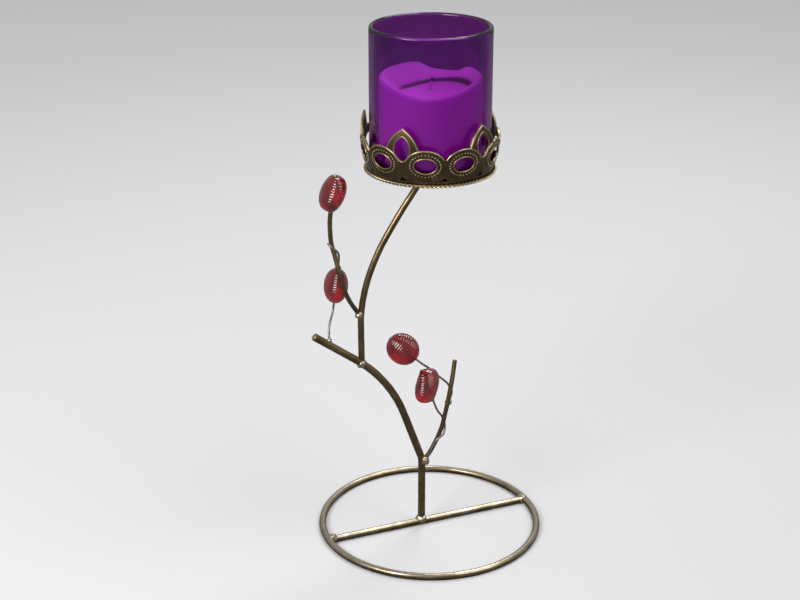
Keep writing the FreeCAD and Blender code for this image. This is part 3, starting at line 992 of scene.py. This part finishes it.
@dataclass
class Twigs:
    """The two side twigs, the three thin wires that wind round them, and the four beads."""

    stems: Stems
    bead: BeadShape = BeadShape()
    bore_clearance: float = 0.00012
    wire_proud: float = 0.0006
    wire: float = 0.0012
    twig_bend_share: float = 0.45
    wire_bend_share: float = 0.3
    left_rod: float = 0.0025
    left_root_share: float = 0.259
    left_sizes: Row = (-0.0158, 0.0035, 0.071)
    left_shares: tuple[Row, ...] = (
        (0, 0, 0), (0.5, -0.71, 0.168), (0.75, -1, 0.311), (0.83, -0.57, 0.418), (0.88, 0.29, 0.517),
        (0.97, 0.86, 0.613), (0.985, 1, 0.7), (1, 0.857, 0.793), (0.917, 0.371, 1.01))
    right_rod: float = 0.0026
    right_root_share: float = 0.302
    right_sizes: Row = (0.0204, 0.004, 0.060)
    right_shares: tuple[Row, ...] = (
        (0, 0, 0), (0.157, -0.375, 0.075), (0.363, -0.75, 0.222), (0.52, -1, 0.368), (0.623, -1, 0.518),
        (0.745, -0.75, 0.672), (0.887, -0.25, 0.835), (1, 0.25, 1))
    tip_root_share: float = 0.865
    tip_sizes: Row = (0.0105, 0.0109, 0.0439)
    tip_shares: tuple[Row, ...] = ((0, 0, 0), (0.152, 0.367, 0.212), (0.56, 0.838, 0.349), (1, 1, 1))
    tip_wrap_shares: tuple[Row, ...] = ((0.521, 0.02), (0.556, -0.139), (0.592, -0.297), (0.62, -0.453))
    tip_wrap_gap: float = 0.00055
    low_wrap_shares: tuple[Row, ...] = (
        (0.03, -0.256), (0.177, -0.378), (0.26, -0.336), (0.305, -0.131), (0.344, 0.036), (0.41, 0.133),
        (0.472, 0.3))
    low_shares: tuple[Row, ...] = ((0.285, -1.981, 0.585), (0.049, -1.125, 0.832))
    low_wrap_gap: float = 0.0009
    high_wrap_shares: tuple[Row, ...] = ((0.6, 0.125), (0.7, 0.089), (0.778, 0.328))
    high_shares: tuple[Row, ...] = (
        (0.5, 0.625, 0.864), (0.235, 0.55, 0.956), (0.011, 0.277, 1.018), (-0.475, 1.25, 1.169))
    high_wrap_gap: float = 0.00095
    top_bead_lean: float = 0.24
    low_bead_lean: float = 0.4
    low_bead_turn: float = 0.5
    drop_half_sizes: Row = (0.0019, 0.0019, 0.0015)

    def wrapped(self, twig: np.ndarray, rise: float, radius: float, rows: Sequence[Row]) -> np.ndarray:
        """Points round a twig, each at a share of its rise and a share of a turn about it.

        Args:
            twig: The twig's corners.
            rise: Its rise.
            radius: How far from its middle line the wire runs.
            rows: The rows of shares.

        Returns:
            The points.
        """
        table = np.array(rows)
        turns = math.tau * table[:, 1]
        centres = np.array([point_at_height(twig, twig[0, 2] + rise * share) for share in table[:, 0]])
        return centres + radius * np.stack([np.cos(turns), np.sin(turns), turns * 0], axis=1)

    def bent(self, corners: np.ndarray, share: float) -> np.ndarray:
        """A route with the same bend share at every corner."""
        return rounded_route(corners, [share] * (len(corners) - 2))

    def add_bead(self, name: str, node: str, centre: np.ndarray, direction: np.ndarray, wide: np.ndarray,
                 wire: float, palette: Palette, lean: float = 0.0) -> None:
        """Builds and dresses one bead.

        Args:
            name: The piece's name.
            node: The node that it stands for.
            centre: The bead's middle.
            direction: The way of its wire.
            wide: Which way its wider side lies.
            wire: The wire's diameter.
            palette: The finishes.
            lean: How far the bead leans off its wire.
        """
        shell = self.bead.shell(centre, direction, wide, wire + self.bore_clearance, lean)
        make_piece(name, shell, [palette.bead], Body.STAND, [node])

    def build_left(self, palette: Palette) -> None:
        """Builds the left twig, the wire from the stem's tip, and their beads.

        Args:
            palette: The finishes.
        """
        stems = self.stems
        root = point_at_height(
            stems.upper_points, stems.upper_points[0, 2] + stems.upper_rise * self.left_root_share)
        twig = shares_to_points(root, np.array(self.left_sizes), self.left_shares)
        centre, direction = twig[-1], twig[-1] - twig[-2]
        route = self.bent(np.vstack([twig[:-1], self.bead.beyond(centre, direction, self.wire_proud)]),
                          self.twig_bend_share)
        shell = RodShape(self.left_rod, seed=9).shell(route)
        make_piece("twig_left", shell, [palette.twig, palette.cut_end], Body.STAND, ["left_twig"])
        self.add_bead("bead_top_left", "top_left_bead", centre, direction, AWAY, self.left_rod, palette,
                      self.top_bead_lean)
        tip_run = stems.lower_points[-1] - stems.lower_points[-2]
        tip_share = stems.lower_shares[-2][0]
        tip_root = stems.lower_points[-2] + tip_run * (self.tip_root_share - tip_share) / (1 - tip_share)
        points = shares_to_points(tip_root, np.array(self.tip_sizes), self.tip_shares)
        wrap_radius = (self.left_rod + self.wire) / 2 + self.tip_wrap_gap
        wrap = self.wrapped(twig, self.left_sizes[2], wrap_radius, self.tip_wrap_shares)
        shell = RodShape(self.wire, sides=12, spacing=0.0007, seed=10).shell(
            self.bent(np.vstack([points, wrap]), self.wire_bend_share))
        make_piece("wire_tip", shell, [palette.wire, palette.cut_end], Body.STAND, ["tip_tendril"])
        low_centre, low_direction = (points[-1] + points[-2]) / 2, points[-1] - points[-2]
        self.add_bead("bead_low_left", "low_left_bead", low_centre, low_direction, AWAY, self.wire, palette)
        drop_places = (self.bead.beyond(centre, -direction, self.wire_proud),
                       self.bead.beyond(low_centre, low_direction, self.wire_proud))
        drops = [blob_shell(place, np.array(self.drop_half_sizes), seed)
                 for seed, place in enumerate(drop_places, start=51)]
        make_piece("bead_drops", Shell.joined(drops), [palette.weld], Body.STAND)

    def build_right(self, palette: Palette) -> None:
        """Builds the right twig, its two wires and their beads.

        Args:
            palette: The finishes.
        """
        stems, sizes = self.stems, np.array(self.right_sizes)
        root = stems.lower_points[0] + UP * stems.lower_rise * self.right_root_share
        twig = shares_to_points(root, sizes, self.right_shares)
        shell = RodShape(self.right_rod, seed=11).shell(self.bent(twig, self.twig_bend_share))
        make_piece("twig_right", shell, [palette.twig, palette.cut_end], Body.STAND,
                   ["right_twig"])
        wires = (
            ("low", self.low_wrap_gap, self.low_wrap_shares, self.low_shares,
             ALONG + AWAY * self.low_bead_turn,
             self.low_bead_lean),
            ("high", self.high_wrap_gap, self.high_wrap_shares, self.high_shares, ALONG + UP, 0.0),
        )
        for seed, (place, gap, wrap_rows, rows, wide, lean) in enumerate(wires, start=12):
            wrap_radius = (self.right_rod + self.wire) / 2 + gap
            wrap = self.wrapped(twig, self.right_sizes[2], wrap_radius, wrap_rows)
            corners = np.vstack([wrap, shares_to_points(root, sizes, rows)])
            centre, direction = corners[-1].copy(), corners[-1] - corners[-2]
            corners[-1] = self.bead.beyond(centre, direction, self.wire_proud)
            shell = RodShape(self.wire, sides=12, spacing=0.0007, seed=seed).shell(
                self.bent(corners, self.wire_bend_share))
            make_piece(f"wire_{place}", shell, [palette.wire, palette.cut_end], Body.STAND,
                       [f"{place}_tendril"])
            self.add_bead(f"bead_{place}_right", f"{place}_right_bead", centre, direction, wide,
                          self.wire, palette,
                          lean)

    def build(self, palette: Palette) -> None:
        """Builds and dresses the twigs, wires, beads and welds.

        Args:
            palette: The finishes.
        """
        self.build_left(palette)
        self.build_right(palette)
        welds = (("weld_left_twig", "left_twig_weld"), ("weld_right_twig", "right_twig_weld"),
                 ("weld_wire_tip", "tip_tendril_weld"), ("solder_wire_high", "high_tendril_solder"))
        for seed, (name, node) in enumerate(welds, start=41):
            weld_piece(name, node, seed, palette)


# Cup

@dataclass
class Cup:
    """The plate, the pierced gallery collar with its raised edges and dots, and the twisted rim."""

    plate_radius: float = 0.0328
    plate_thickness: float = 0.0012
    thickness: float = 0.0007
    height: float = 0.031
    bulge: float = 0.0028
    bulge_height_share: float = 0.42
    tip_radius: float = 0.0343
    repeats: int = 5
    phase: float = math.radians(-137.0)
    oval_width: float = 0.022
    oval_height: float = 0.0172
    oval_centre: float = 0.012
    oval_hole_width: float = 0.0118
    oval_hole_height: float = 0.0078
    oval_turn: float = math.radians(19.5)
    petal_width: float = 0.020
    petal_drop: float = 0.014
    petal_shoulder_width: float = 0.014
    petal_shoulder_drop: float = 0.0061
    petal_hole_width: float = 0.0082
    petal_hole_low: float = 0.0136
    petal_hole_waist: float = 0.019
    petal_hole_high: float = 0.027
    edge_wire: float = 0.0010
    hole_wire: float = 0.0007
    dot_radius: float = 0.00048
    dot_ring_gap: float = 0.0021
    dots_per_oval: int = 28
    rope_wire: float = 0.0018
    rope_twists: int = 46
    rope_strands: int = 2
    edge_spacing: float = 0.0005

    @property
    def foot(self) -> float:
        """The height of the plate's underside."""
        return float(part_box("cup_plate")[0].z)

    def wall_radius(self, height: np.ndarray) -> np.ndarray:
        """The collar's outer radius: a circle's arc from its foot through the bulge to the tips.

        Args:
            height: Height above the plate's underside.

        Returns:
            The radius at each height.
        """
        across = (self.plate_radius, self.plate_radius + self.bulge, self.tip_radius)
        heights = (self.plate_thickness, self.height * self.bulge_height_share, self.height)
        middle, level, radius = circle_through(across, heights)
        return middle + np.sqrt(radius ** 2 - (height - level) ** 2) + self.thickness

    def on_wall(self, feature: float, offset: np.ndarray, height: np.ndarray,
                lift: float = 0.0) -> np.ndarray:
        """Points on the collar's outer face.

        A sideways offset is turned into an angle: the arc sine of the offset over the radius.

        Args:
            feature: The angle of the ornament that the points belong to.
            offset: How far sideways of the ornament's middle.
            height: Height above the plate's underside.
            lift: How far the points stand off the face.

        Returns:
            The points.
        """
        radius = self.wall_radius(height)
        angle = feature + np.arcsin(np.clip(offset / radius, -1, 1))
        reach = radius + lift
        flat = np.stack([reach * np.cos(angle), reach * np.sin(angle), self.foot + height], axis=-1)
        return node_axis("cup_plate") + flat

    def oval_line(self, width: float, height: float, turn: np.ndarray) -> tuple[np.ndarray, np.ndarray]:
        """Sideways offsets and heights round an oval, from the cosine and sine of an angle.

        Args:
            width: The oval's width.
            height: Its height.
            turn: The angles.

        Returns:
            The offsets and the heights.
        """
        return width / 2 * np.cos(turn), self.oval_centre + height / 2 * np.sin(turn)

    def ring_wire(self, line: np.ndarray, wire: float, sides: int = 10) -> Shell:
        """A round edge along a closed line on the wall.

        A circle is carried along the line, square to it and to the way out from the cup's middle.

        Args:
            line: The points of the line.
            wire: The edge's thickness.
            sides: How many sides the circle has.

        Returns:
            The edge's surface.
        """
        tangents = unit(np.roll(line, -1, axis=0) - np.roll(line, 1, axis=0))
        out = (line - node_axis("cup_plate")) * np.array([1, 1, 0])
        out = unit(out - tangents * (out * tangents).sum(axis=1, keepdims=True))
        side = np.cross(tangents, out)
        around = np.linspace(0, math.tau, sides, endpoint=False)[None, :, None]
        grid = line[:, None] + wire / 2 * (np.cos(around) * out[:, None] + np.sin(around) * side[:, None])
        return Shell.from_grid(grid, ring=True)

    def petal_shell(self, feature: float) -> Shell:
        """The raised edge of a petal: an arc each side, from the ovals up to the tip.

        Args:
            feature: The petal's angle.

        Returns:
            The edge's surface.
        """
        across = (0.0, self.petal_shoulder_width / 2, self.petal_width / 2)
        heights = (self.height, self.height - self.petal_shoulder_drop, self.height - self.petal_drop)
        middle, level, radius = circle_through(across, heights)
        inset = self.edge_wire / 2
        climb = np.linspace(self.oval_centre + self.oval_height / 2 - inset, self.height, 40)
        offset = middle + np.sqrt(radius ** 2 - (climb - level) ** 2) - inset
        offset, climb = np.maximum(offset, 0), climb - inset
        line_offset = np.hstack([offset, -offset[-2::-1]])
        line_height = np.hstack([climb, climb[-2::-1]])
        return RodShape(self.edge_wire, sides=10, spacing=self.edge_spacing, unevenness=0.03).shell(
            self.on_wall(feature, line_offset, line_height))

    def leaf_shell(self, feature: float) -> Shell:
        """The raised edge of a petal's opening: an arc each side from its low point to its high point.

        Args:
            feature: The petal's angle.

        Returns:
            The edge's surface.
        """
        across = (0.0, self.petal_hole_width / 2, 0.0)
        heights = (self.petal_hole_low, self.petal_hole_waist, self.petal_hole_high)
        middle, level, radius = circle_through(across, heights)
        climb = np.linspace(self.petal_hole_low, self.petal_hole_high, 40)
        offset = middle + np.sqrt(np.maximum(radius ** 2 - (climb - level) ** 2, 0)) + self.hole_wire / 3
        line_offset = np.hstack([offset, -offset[-2:0:-1]])
        line_height = np.hstack([climb, climb[-2:0:-1]])
        return self.ring_wire(self.on_wall(feature, line_offset, line_height), self.hole_wire)

    def oval_shells(self, feature: float, side: int) -> list[Shell]:
        """The raised upper edge, the edge of the opening and the ring of dots of one oval.

        The upper edge runs from the notch beside the next oval, where the two cross half-way between them, to
        the foot of the petal.

        Args:
            feature: The oval's angle.
            side: 1 or -1, the side of its petal that the oval is on.

        Returns:
            The three surfaces.
        """
        inset, outset = self.edge_wire, self.hole_wire * 2 / 3
        to_next = math.pi / self.repeats - self.oval_turn
        notch_offset = self.wall_radius(np.array(self.oval_centre)) * math.sin(to_next)
        notch_turn = math.acos(min(float(notch_offset) / (self.oval_width / 2), 1.0))
        foot_turn = math.pi - math.asin((self.petal_hole_low - self.oval_centre) / (self.oval_height / 2))
        sweep = np.linspace(notch_turn, foot_turn, 70)
        sweep = sweep if side > 0 else math.pi - sweep
        outer = self.oval_line(self.oval_width - inset, self.oval_height - inset, sweep)
        full = np.linspace(0, math.tau, 80, endpoint=False)
        hole = self.oval_line(self.oval_hole_width + outset, self.oval_hole_height + outset, full)
        beads = np.linspace(0, math.tau, self.dots_per_oval, endpoint=False)
        gap = 2 * self.dot_ring_gap
        dots = self.oval_line(self.oval_hole_width + gap, self.oval_hole_height + gap, beads)
        down = np.linspace(0.25, math.pi - 0.25, 5)[:, None]
        around = np.linspace(0, math.tau, 8, endpoint=False)[None, :]
        ball = np.stack([np.sin(down) * np.cos(around), np.sin(down) * np.sin(around),
                         np.cos(down) * np.ones_like(around)], axis=-1) * self.dot_radius
        edge = RodShape(self.edge_wire, sides=10, spacing=self.edge_spacing, unevenness=0.03)
        return [
            edge.shell(self.on_wall(feature, *outer)),
            self.ring_wire(self.on_wall(feature, *hole), self.hole_wire),
            Shell.from_grid(ball).copies(self.on_wall(feature, *dots)),
        ]

    def rope_shell(self) -> Shell:
        """The twisted rim.

        Each strand is a circle carried round the rim while its middle winds about the rim's own middle line,
        a whole number of twists to the turn, and the strands share the twist evenly.

        Returns:
            The surface of all strands.
        """
        strand = self.rope_wire / 4
        rim_radius = self.plate_radius + self.thickness + self.rope_wire / 2
        turn = np.linspace(0, math.tau, self.rope_twists * 14, endpoint=False)[:, None]
        around = np.linspace(0, math.tau, 10, endpoint=False)[None, :]
        shells = []
        for index in range(self.rope_strands):
            twist = self.rope_twists * turn + math.tau * index / self.rope_strands
            reach = rim_radius + strand * np.cos(twist) + strand * 1.12 * np.cos(around)
            height = self.foot + self.rope_wire / 2 + strand * np.sin(twist) + strand * 0.98 * np.sin(around)
            grid = np.stack([reach * np.cos(turn), reach * np.sin(turn), height], axis=-1)
            shells.append(Shell.from_grid(node_axis("rope_rim") + grid, ring=True))
        return Shell.joined(shells)

    def build(self, palette: Palette) -> None:
        """Builds and dresses the cup.

        Args:
            palette: The finishes.
        """
        dress_node("cup_plate", palette.cup)
        dress_node("gallery_collar", palette.cup)
        step = math.tau / self.repeats
        petals = [self.phase + step * index for index in range(self.repeats)]
        petal_edges = [shell for petal in petals
                       for shell in (self.petal_shell(petal), self.leaf_shell(petal))]
        make_piece("collar_petal_edges", Shell.joined(petal_edges), [palette.relief], Body.STAND)
        oval_edges = [shell for petal in petals for side in (-1, 1)
                      for shell in self.oval_shells(petal + side * self.oval_turn, side)]
        make_piece("collar_oval_edges", Shell.joined(oval_edges), [palette.relief], Body.STAND)
        make_piece("rim_rope", self.rope_shell(), [palette.relief], Body.STAND, ["rope_rim"])


# Glass and candle

@dataclass
class Tumbler:
    """The votive glass: a straight wall, a thick floor and a rounded rim and foot."""

    wall: float = 0.0026
    floor: float = 0.005
    foot_round: float = 0.002
    ripple: float = 0.0008
    ripple_pitch: float = 0.05
    wall_rows: int = 24
    columns: int = 160

    def profile(self, radius: float, low: float, high: float) -> tuple[np.ndarray, np.ndarray]:
        """Radius and height along the section: up the outside, over the rim and down the inside.

        Quarter circles round the foot and the inner corner, and a half circle goes over the rim.

        Args:
            radius: The outer radius.
            low: The height of the foot.
            high: The height of the rim.

        Returns:
            The radii and the heights.
        """
        quarter = np.linspace(0, math.pi / 2, 8)
        half = np.linspace(0, math.pi, 14)
        inner, lip = radius - self.wall, self.wall / 2
        foot_reach = radius - self.foot_round + self.foot_round * np.sin(quarter)
        foot_climb = low + self.foot_round - self.foot_round * np.cos(quarter)
        corner_reach = inner - self.foot_round + self.foot_round * np.cos(quarter)
        corner_climb = low + self.floor + self.foot_round - self.foot_round * np.sin(quarter)
        outer_climb = np.linspace(low + self.foot_round, high - lip, self.wall_rows)[1:-1]
        inner_climb = np.linspace(high - lip, low + self.floor + self.foot_round, self.wall_rows)[1:-1]
        radii = (foot_reach, np.full_like(outer_climb, radius), radius - lip + lip * np.cos(half),
                 np.full_like(inner_climb, inner), corner_reach)
        heights = (foot_climb, outer_climb, high - lip + lip * np.sin(half), inner_climb, corner_climb)
        return np.hstack(radii), np.hstack(heights)

    def build(self, palette: Palette) -> None:
        """Builds and dresses the glass: its section turned about the upright axis, with a faint ripple.

        Args:
            palette: The finishes.
        """
        low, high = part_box("votive_glass")
        radii, heights = self.profile(float(high.y), float(low.z), float(high.z))
        around = np.linspace(0, math.tau, self.columns, endpoint=False)[None, :]
        swell = waves(heights[:, None], around, 51, pitch=self.ripple_pitch)
        reach = radii[:, None] * (1 - self.ripple + self.ripple * swell)
        climb = np.broadcast_to(heights[:, None], reach.shape)
        grid = np.stack([reach * np.cos(around), reach * np.sin(around), climb], axis=-1)
        shell = Shell.from_grid(node_axis("votive_glass") + grid)
        make_piece("tumbler", shell, [palette.glass], Body.GLASS, ["votive_glass"])


@dataclass
class Candle:
    """The used candle: wax with an uneven rim and a melt pool, its wick and the wick's metal foot."""

    radius: float = 0.0274
    edge_round: float = 0.002
    rim_rise: float = 0.0004
    pool_radius: float = 0.0177
    pool_depth: float = 0.0088
    pool_shift: float = 0.0034
    pool_turn: float = VIEW_TURN + math.radians(90)
    pool_slope: float = 0.05
    mound: float = 0.0062
    mound_turn: float = VIEW_TURN + math.radians(210)
    mound_spread: float = math.radians(48)
    # Painted shadow in the crease at the foot of the far slope: where it lies, how wide, how far round towards
    # the view, and how dark.
    crease_shadow_slide: float = 0.74
    crease_shadow_spread: float = 0.003
    dip_depth: float = 0.0043
    dip_turn: float = VIEW_TURN + math.radians(161)
    dip_spread: float = math.radians(27)
    spill_depth: float = 0.0066
    spill_turn: float = VIEW_TURN + math.radians(-4)
    spill_spread: float = math.radians(48)
    dents: float = 0.004
    dent_pitch: float = 0.02
    pool_unevenness: float = 0.02
    slide_power: float = 1.6
    lump: float = 0.0003
    pool_lip: float = 0.0004
    pool_ripple: float = 0.00015
    crease_shadow_front: float = 0.45
    crease_shadow_tone: float = 0.7
    wall_tone: float = 0.4
    rim_tone: float = 0.7
    slide_fade: float = 0.3
    pool_tone: float = 0.35
    columns: int = 180
    wick: float = 0.002
    wick_stand: float = 0.003
    wick_lean: float = 0.0016
    wick_tip_rise: float = 0.003
    wick_bend_share: float = 0.4
    braid: float = 0.14
    braid_bulges: int = 3
    braid_winding: float = 2400
    wick_taper: float = 0.001
    wick_tip_share: float = 0.35
    char_length: float = 0.003
    char_blend: float = 0.002

    @staticmethod
    def bell(around: np.ndarray, turn: float, spread: float, power: int = 2) -> np.ndarray:
        """A bell round the candle: the exponential of minus a power of the angle away, over the spread."""
        away = np.abs((around - turn + math.pi) % math.tau - math.pi)
        return np.exp(-(away / spread) ** power)

    def melted(self, around: np.ndarray) -> np.ndarray:
        """How far the rim has melted down: a flat dip at the back and a bell-shaped spill at the front.

        Args:
            around: Angles round the candle.

        Returns:
            The depth at each angle.
        """
        dip = self.dip_depth * self.bell(around, self.dip_turn, self.dip_spread, power=4)
        return dip + self.spill_depth * self.bell(around, self.spill_turn, self.spill_spread)

    def wax_shell(self) -> Shell:
        """The wax.

        From the foot the section climbs the wall, rounds the rim and slides down to the pool on a smooth step,
        and the pool runs to the wick with a slight rise at its edge. The pool's edge lies off centre, by a cosine
        of the angle, and a bell-shaped mound pushes it in at the back; the pool slopes up to one side. The tone
        is high on the rim, and low within a short reach of the foot of the far slope: painted shadow in the
        crease there, on the side away from the view.

        Returns:
            The wax's surface.
        """
        low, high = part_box("candle_wax")
        foot, top = float(low.z), float(high.z)
        around = np.linspace(0, math.tau, self.columns, endpoint=False)[None, :]
        rim = top - self.melted(around) - self.rim_rise * (1 - np.clip(waves(around * 0, around, 61), -1, 1))
        pool = top - self.pool_depth
        wall_reach = self.radius * (1 - self.dents + self.dents * waves(around * 0, around, 62))
        climb = np.linspace(0, 1, 26)[:, None]
        wall_heights = foot + (rim - self.edge_round - foot) * climb
        dents = 1 - self.dents + self.dents * waves(wall_heights, around, 63, pitch=self.dent_pitch)
        quarter = np.linspace(0, math.pi / 2, 7)[1:, None]
        edge_reach = wall_reach - self.edge_round + self.edge_round * np.cos(quarter)
        edge_heights = rim - self.edge_round + self.edge_round * np.sin(quarter)
        slide = np.linspace(0, 1, 22)[1:, None]
        pool_edge = self.pool_radius * (1 + self.pool_unevenness * waves(around * 0, around, 64))
        pool_edge = pool_edge + self.pool_shift * np.cos(around - self.pool_turn)
        pool_edge = pool_edge - self.mound * self.bell(around, self.mound_turn, self.mound_spread)
        tilt = self.pool_slope * np.cos(around - self.pool_turn)
        slope_reach = (wall_reach - self.edge_round) * (1 - slide) + pool_edge * slide
        late = slide ** self.slide_power
        step = late * (3 - 2 * late)
        lumps = self.lump * waves(slide * 0.01, around, 65) * np.sin(slide * math.pi)
        slope_heights = rim + (pool + tilt * slope_reach - rim) * np.clip(step, 0, 1) + lumps
        inward = np.linspace(1, 0.06, 24)[1:, None]
        pool_reach = pool_edge * inward
        pool_heights = pool + tilt * pool_reach + self.pool_lip * inward ** 6 - self.pool_lip
        pool_heights = pool_heights + self.pool_ripple * waves(inward * 0.02, around, 66)
        reach = np.vstack([wall_reach * dents, edge_reach, slope_reach, pool_reach])
        heights = np.vstack([wall_heights, edge_heights, slope_heights, pool_heights])
        foot_reach = (wall_reach - self.edge_round) * (1 - self.crease_shadow_slide) + pool_edge * self.crease_shadow_slide
        from_foot = np.hypot(reach - foot_reach, heights - pool - tilt * foot_reach)
        # Painted shadow: the crease darkens only on the side away from the view.
        far_side = np.clip(self.crease_shadow_front - np.cos(around - VIEW_TURN), 0, 1)
        crease_shadow = np.exp(-(from_foot / self.crease_shadow_spread) ** 2) * far_side
        tones = np.vstack([
            np.full_like(wall_heights, self.wall_tone), np.full_like(edge_heights, self.rim_tone),
            self.rim_tone - self.slide_fade * slide + 0 * slope_reach, np.full_like(pool_reach, self.pool_tone)])
        grid = np.stack([reach * np.cos(around), reach * np.sin(around), heights], axis=-1)
        return Shell.from_grid(node_axis("candle_wax") + grid, tones - self.crease_shadow_tone * crease_shadow)

    def wick_shell(self) -> Shell:
        """The wick.

        A circle carried along a route that leans at the top, with bulges round it that wind along it like a
        braid. The tone rises from waxed cotton to char over its upper end.

        Returns:
            The wick's surface.
        """
        pool = float(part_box("candle_wax")[1].z) - self.pool_depth
        foot = node_axis("candle_wax") + UP * float(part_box("candle_wick")[0].z)
        bend = node_axis("candle_wax") + UP * (pool + self.wick_stand)
        tip = bend + np.array([self.wick_lean, 0, self.wick_tip_rise])
        route = rounded_route(np.stack([foot, bend, tip]), [self.wick_bend_share])
        distances = np.linspace(0, travelled(route)[-1], 110)
        points = along_route(route, distances)
        first, second = side_frames(points)
        around = np.linspace(0, math.tau, 24, endpoint=False)[None, :]
        far = distances[:, None]
        bulges = np.cos(self.braid_bulges * around - far * self.braid_winding)
        radius = self.wick / 2 * (1 - self.braid + self.braid * bulges)
        radius = radius * np.clip((distances[-1] - far) / self.wick_taper + self.wick_tip_share, 0, 1)
        ring = np.cos(around)[..., None] * first[:, None] + np.sin(around)[..., None] * second[:, None]
        char = np.clip((far - (distances[-1] - self.char_length)) / self.char_blend, 0, 1)
        return Shell.from_grid(points[:, None] + radius[..., None] * ring, char + 0 * around)

    def build(self, palette: Palette) -> None:
        """Builds and dresses the candle.

        Args:
            palette: The finishes.
        """
        make_piece("wax", self.wax_shell(), [palette.wax], Body.CANDLE, ["candle_wax"])
        make_piece("wick", self.wick_shell(), [palette.cotton], Body.CANDLE, ["candle_wick"])
        dress_node("wick_sustainer", palette.tin)


# Studio

class LampKind(Enum):
    """How a lamp throws its light."""

    PANEL = "AREA"
    SKYLIGHT = "SUN"


@dataclass(frozen=True)
class Lamp:
    """A soft lamp: a square panel with a size in metres, or a skylight with a spread in radians."""

    name: str
    kind: LampKind
    place: Row
    size: float
    power: float


@dataclass
class Studio:
    """Pale floor, soft lamps and the camera at the photograph's angle."""

    aim: Row = (0.0, 0.0, 0.15)
    lamps: tuple[Lamp, ...] = (
        Lamp("key_lamp", LampKind.PANEL, (-0.9, -0.4, 0.8), 0.55, 7.7),
        Lamp("back_lamp", LampKind.PANEL, (0.42, 0.45, 1.05), 0.4, 3.3),
        Lamp("skylight", LampKind.SKYLIGHT, (0.6, -0.6, 1.4), math.radians(40), 0.8),
    )
    backdrop: Colour = (0.83, 0.83, 0.84)
    ambient: float = 0.45
    floor_reach: float = 6.0
    camera_place: Row = (-0.32732, -0.74559, 0.47290)
    camera_pitch: float = math.radians(22.256)
    camera_turn: float = math.radians(-22.5)
    lens: float = 72.02
    sensor: float = 36.0

    def build_floor(self) -> None:
        """Lays the floor."""
        reach = self.floor_reach
        mesh = bpy.data.meshes.new("floor")
        mesh.from_pydata([(-reach, -reach, 0), (reach, -reach, 0), (reach, reach, 0), (-reach, reach, 0)],
                         [], [(0, 1, 2, 3)])
        paper = PaperFinish("floor_paper", (0.80, 0.80, 0.81), (0.77, 0.77, 0.78), (0.22, 0.22, 0.23))
        mesh.materials.append(paper.material())
        floor = bpy.data.objects.new("floor", mesh)
        bpy.context.scene.collection.objects.link(floor)

    def build_world(self) -> None:
        """Makes the surroundings: pale to the eye and through glass, softer as a light and in reflections."""
        world = bpy.data.worlds.new("studio")
        bpy.context.scene.world = world
        world.use_nodes = True
        tree = world.node_tree
        soft = tree.nodes["Background"]
        soft.inputs["Color"].default_value = (*self.backdrop, 1.0)
        soft.inputs["Strength"].default_value = self.ambient
        seen = tree.nodes.new("ShaderNodeBackground")
        seen.inputs["Color"].default_value = (*self.backdrop, 1.0)
        path = tree.nodes.new("ShaderNodeLightPath")
        either = tree.nodes.new("ShaderNodeMath")
        either.operation = "MAXIMUM"
        tree.links.new(path.outputs["Is Camera Ray"], either.inputs[0])
        tree.links.new(path.outputs["Is Transmission Ray"], either.inputs[1])
        mix = tree.nodes.new("ShaderNodeMixShader")
        tree.links.new(either.outputs["Value"], mix.inputs["Fac"])
        tree.links.new(soft.outputs["Background"], mix.inputs[1])
        tree.links.new(seen.outputs["Background"], mix.inputs[2])
        tree.links.new(mix.outputs["Shader"], tree.nodes["World Output"].inputs["Surface"])

    def build_lamp(self, lamp: Lamp) -> None:
        """Hangs one lamp, aimed at the holder.

        Args:
            lamp: The lamp.
        """
        light = bpy.data.lights.new(lamp.name, lamp.kind.value)
        light.energy = lamp.power
        if lamp.kind is LampKind.PANEL:
            light.size = lamp.size
        else:
            light.angle = lamp.size
        hung = bpy.data.objects.new(lamp.name, light)
        away = np.array(lamp.place) - np.array(self.aim)
        tilt = math.atan2(math.hypot(away[0], away[1]), away[2])
        hung.location = lamp.place
        hung.rotation_euler = (tilt, 0.0, math.atan2(away[0], -away[1]))
        bpy.context.scene.collection.objects.link(hung)

    def build_camera(self) -> None:
        """Sets up the camera."""
        camera = bpy.data.objects.new("camera", bpy.data.cameras.new("camera"))
        camera.location = self.camera_place
        camera.rotation_euler = (math.pi / 2 - self.camera_pitch, 0.0, self.camera_turn)
        camera.data.lens = self.lens
        camera.data.sensor_width = self.sensor
        bpy.context.scene.collection.objects.link(camera)
        bpy.context.scene.camera = camera

    def build(self) -> None:
        """Builds the studio."""
        bpy.context.scene.view_settings.view_transform = "Standard"
        self.build_floor()
        self.build_world()
        for lamp in self.lamps:
            self.build_lamp(lamp)
        self.build_camera()


def main() -> None:
    """Builds the holder from the ground up, then the studio."""
    logging.basicConfig(level=logging.INFO, format="%(message)s")
    palette = Palette.mixed()
    foot = Foot()
    stems = Stems(foot)
    for assembly in (foot, stems, Twigs(stems), Cup(), Tumbler(), Candle()):
        assembly.build(palette)
    Studio().build()


if __name__ == "__main__":
    main()
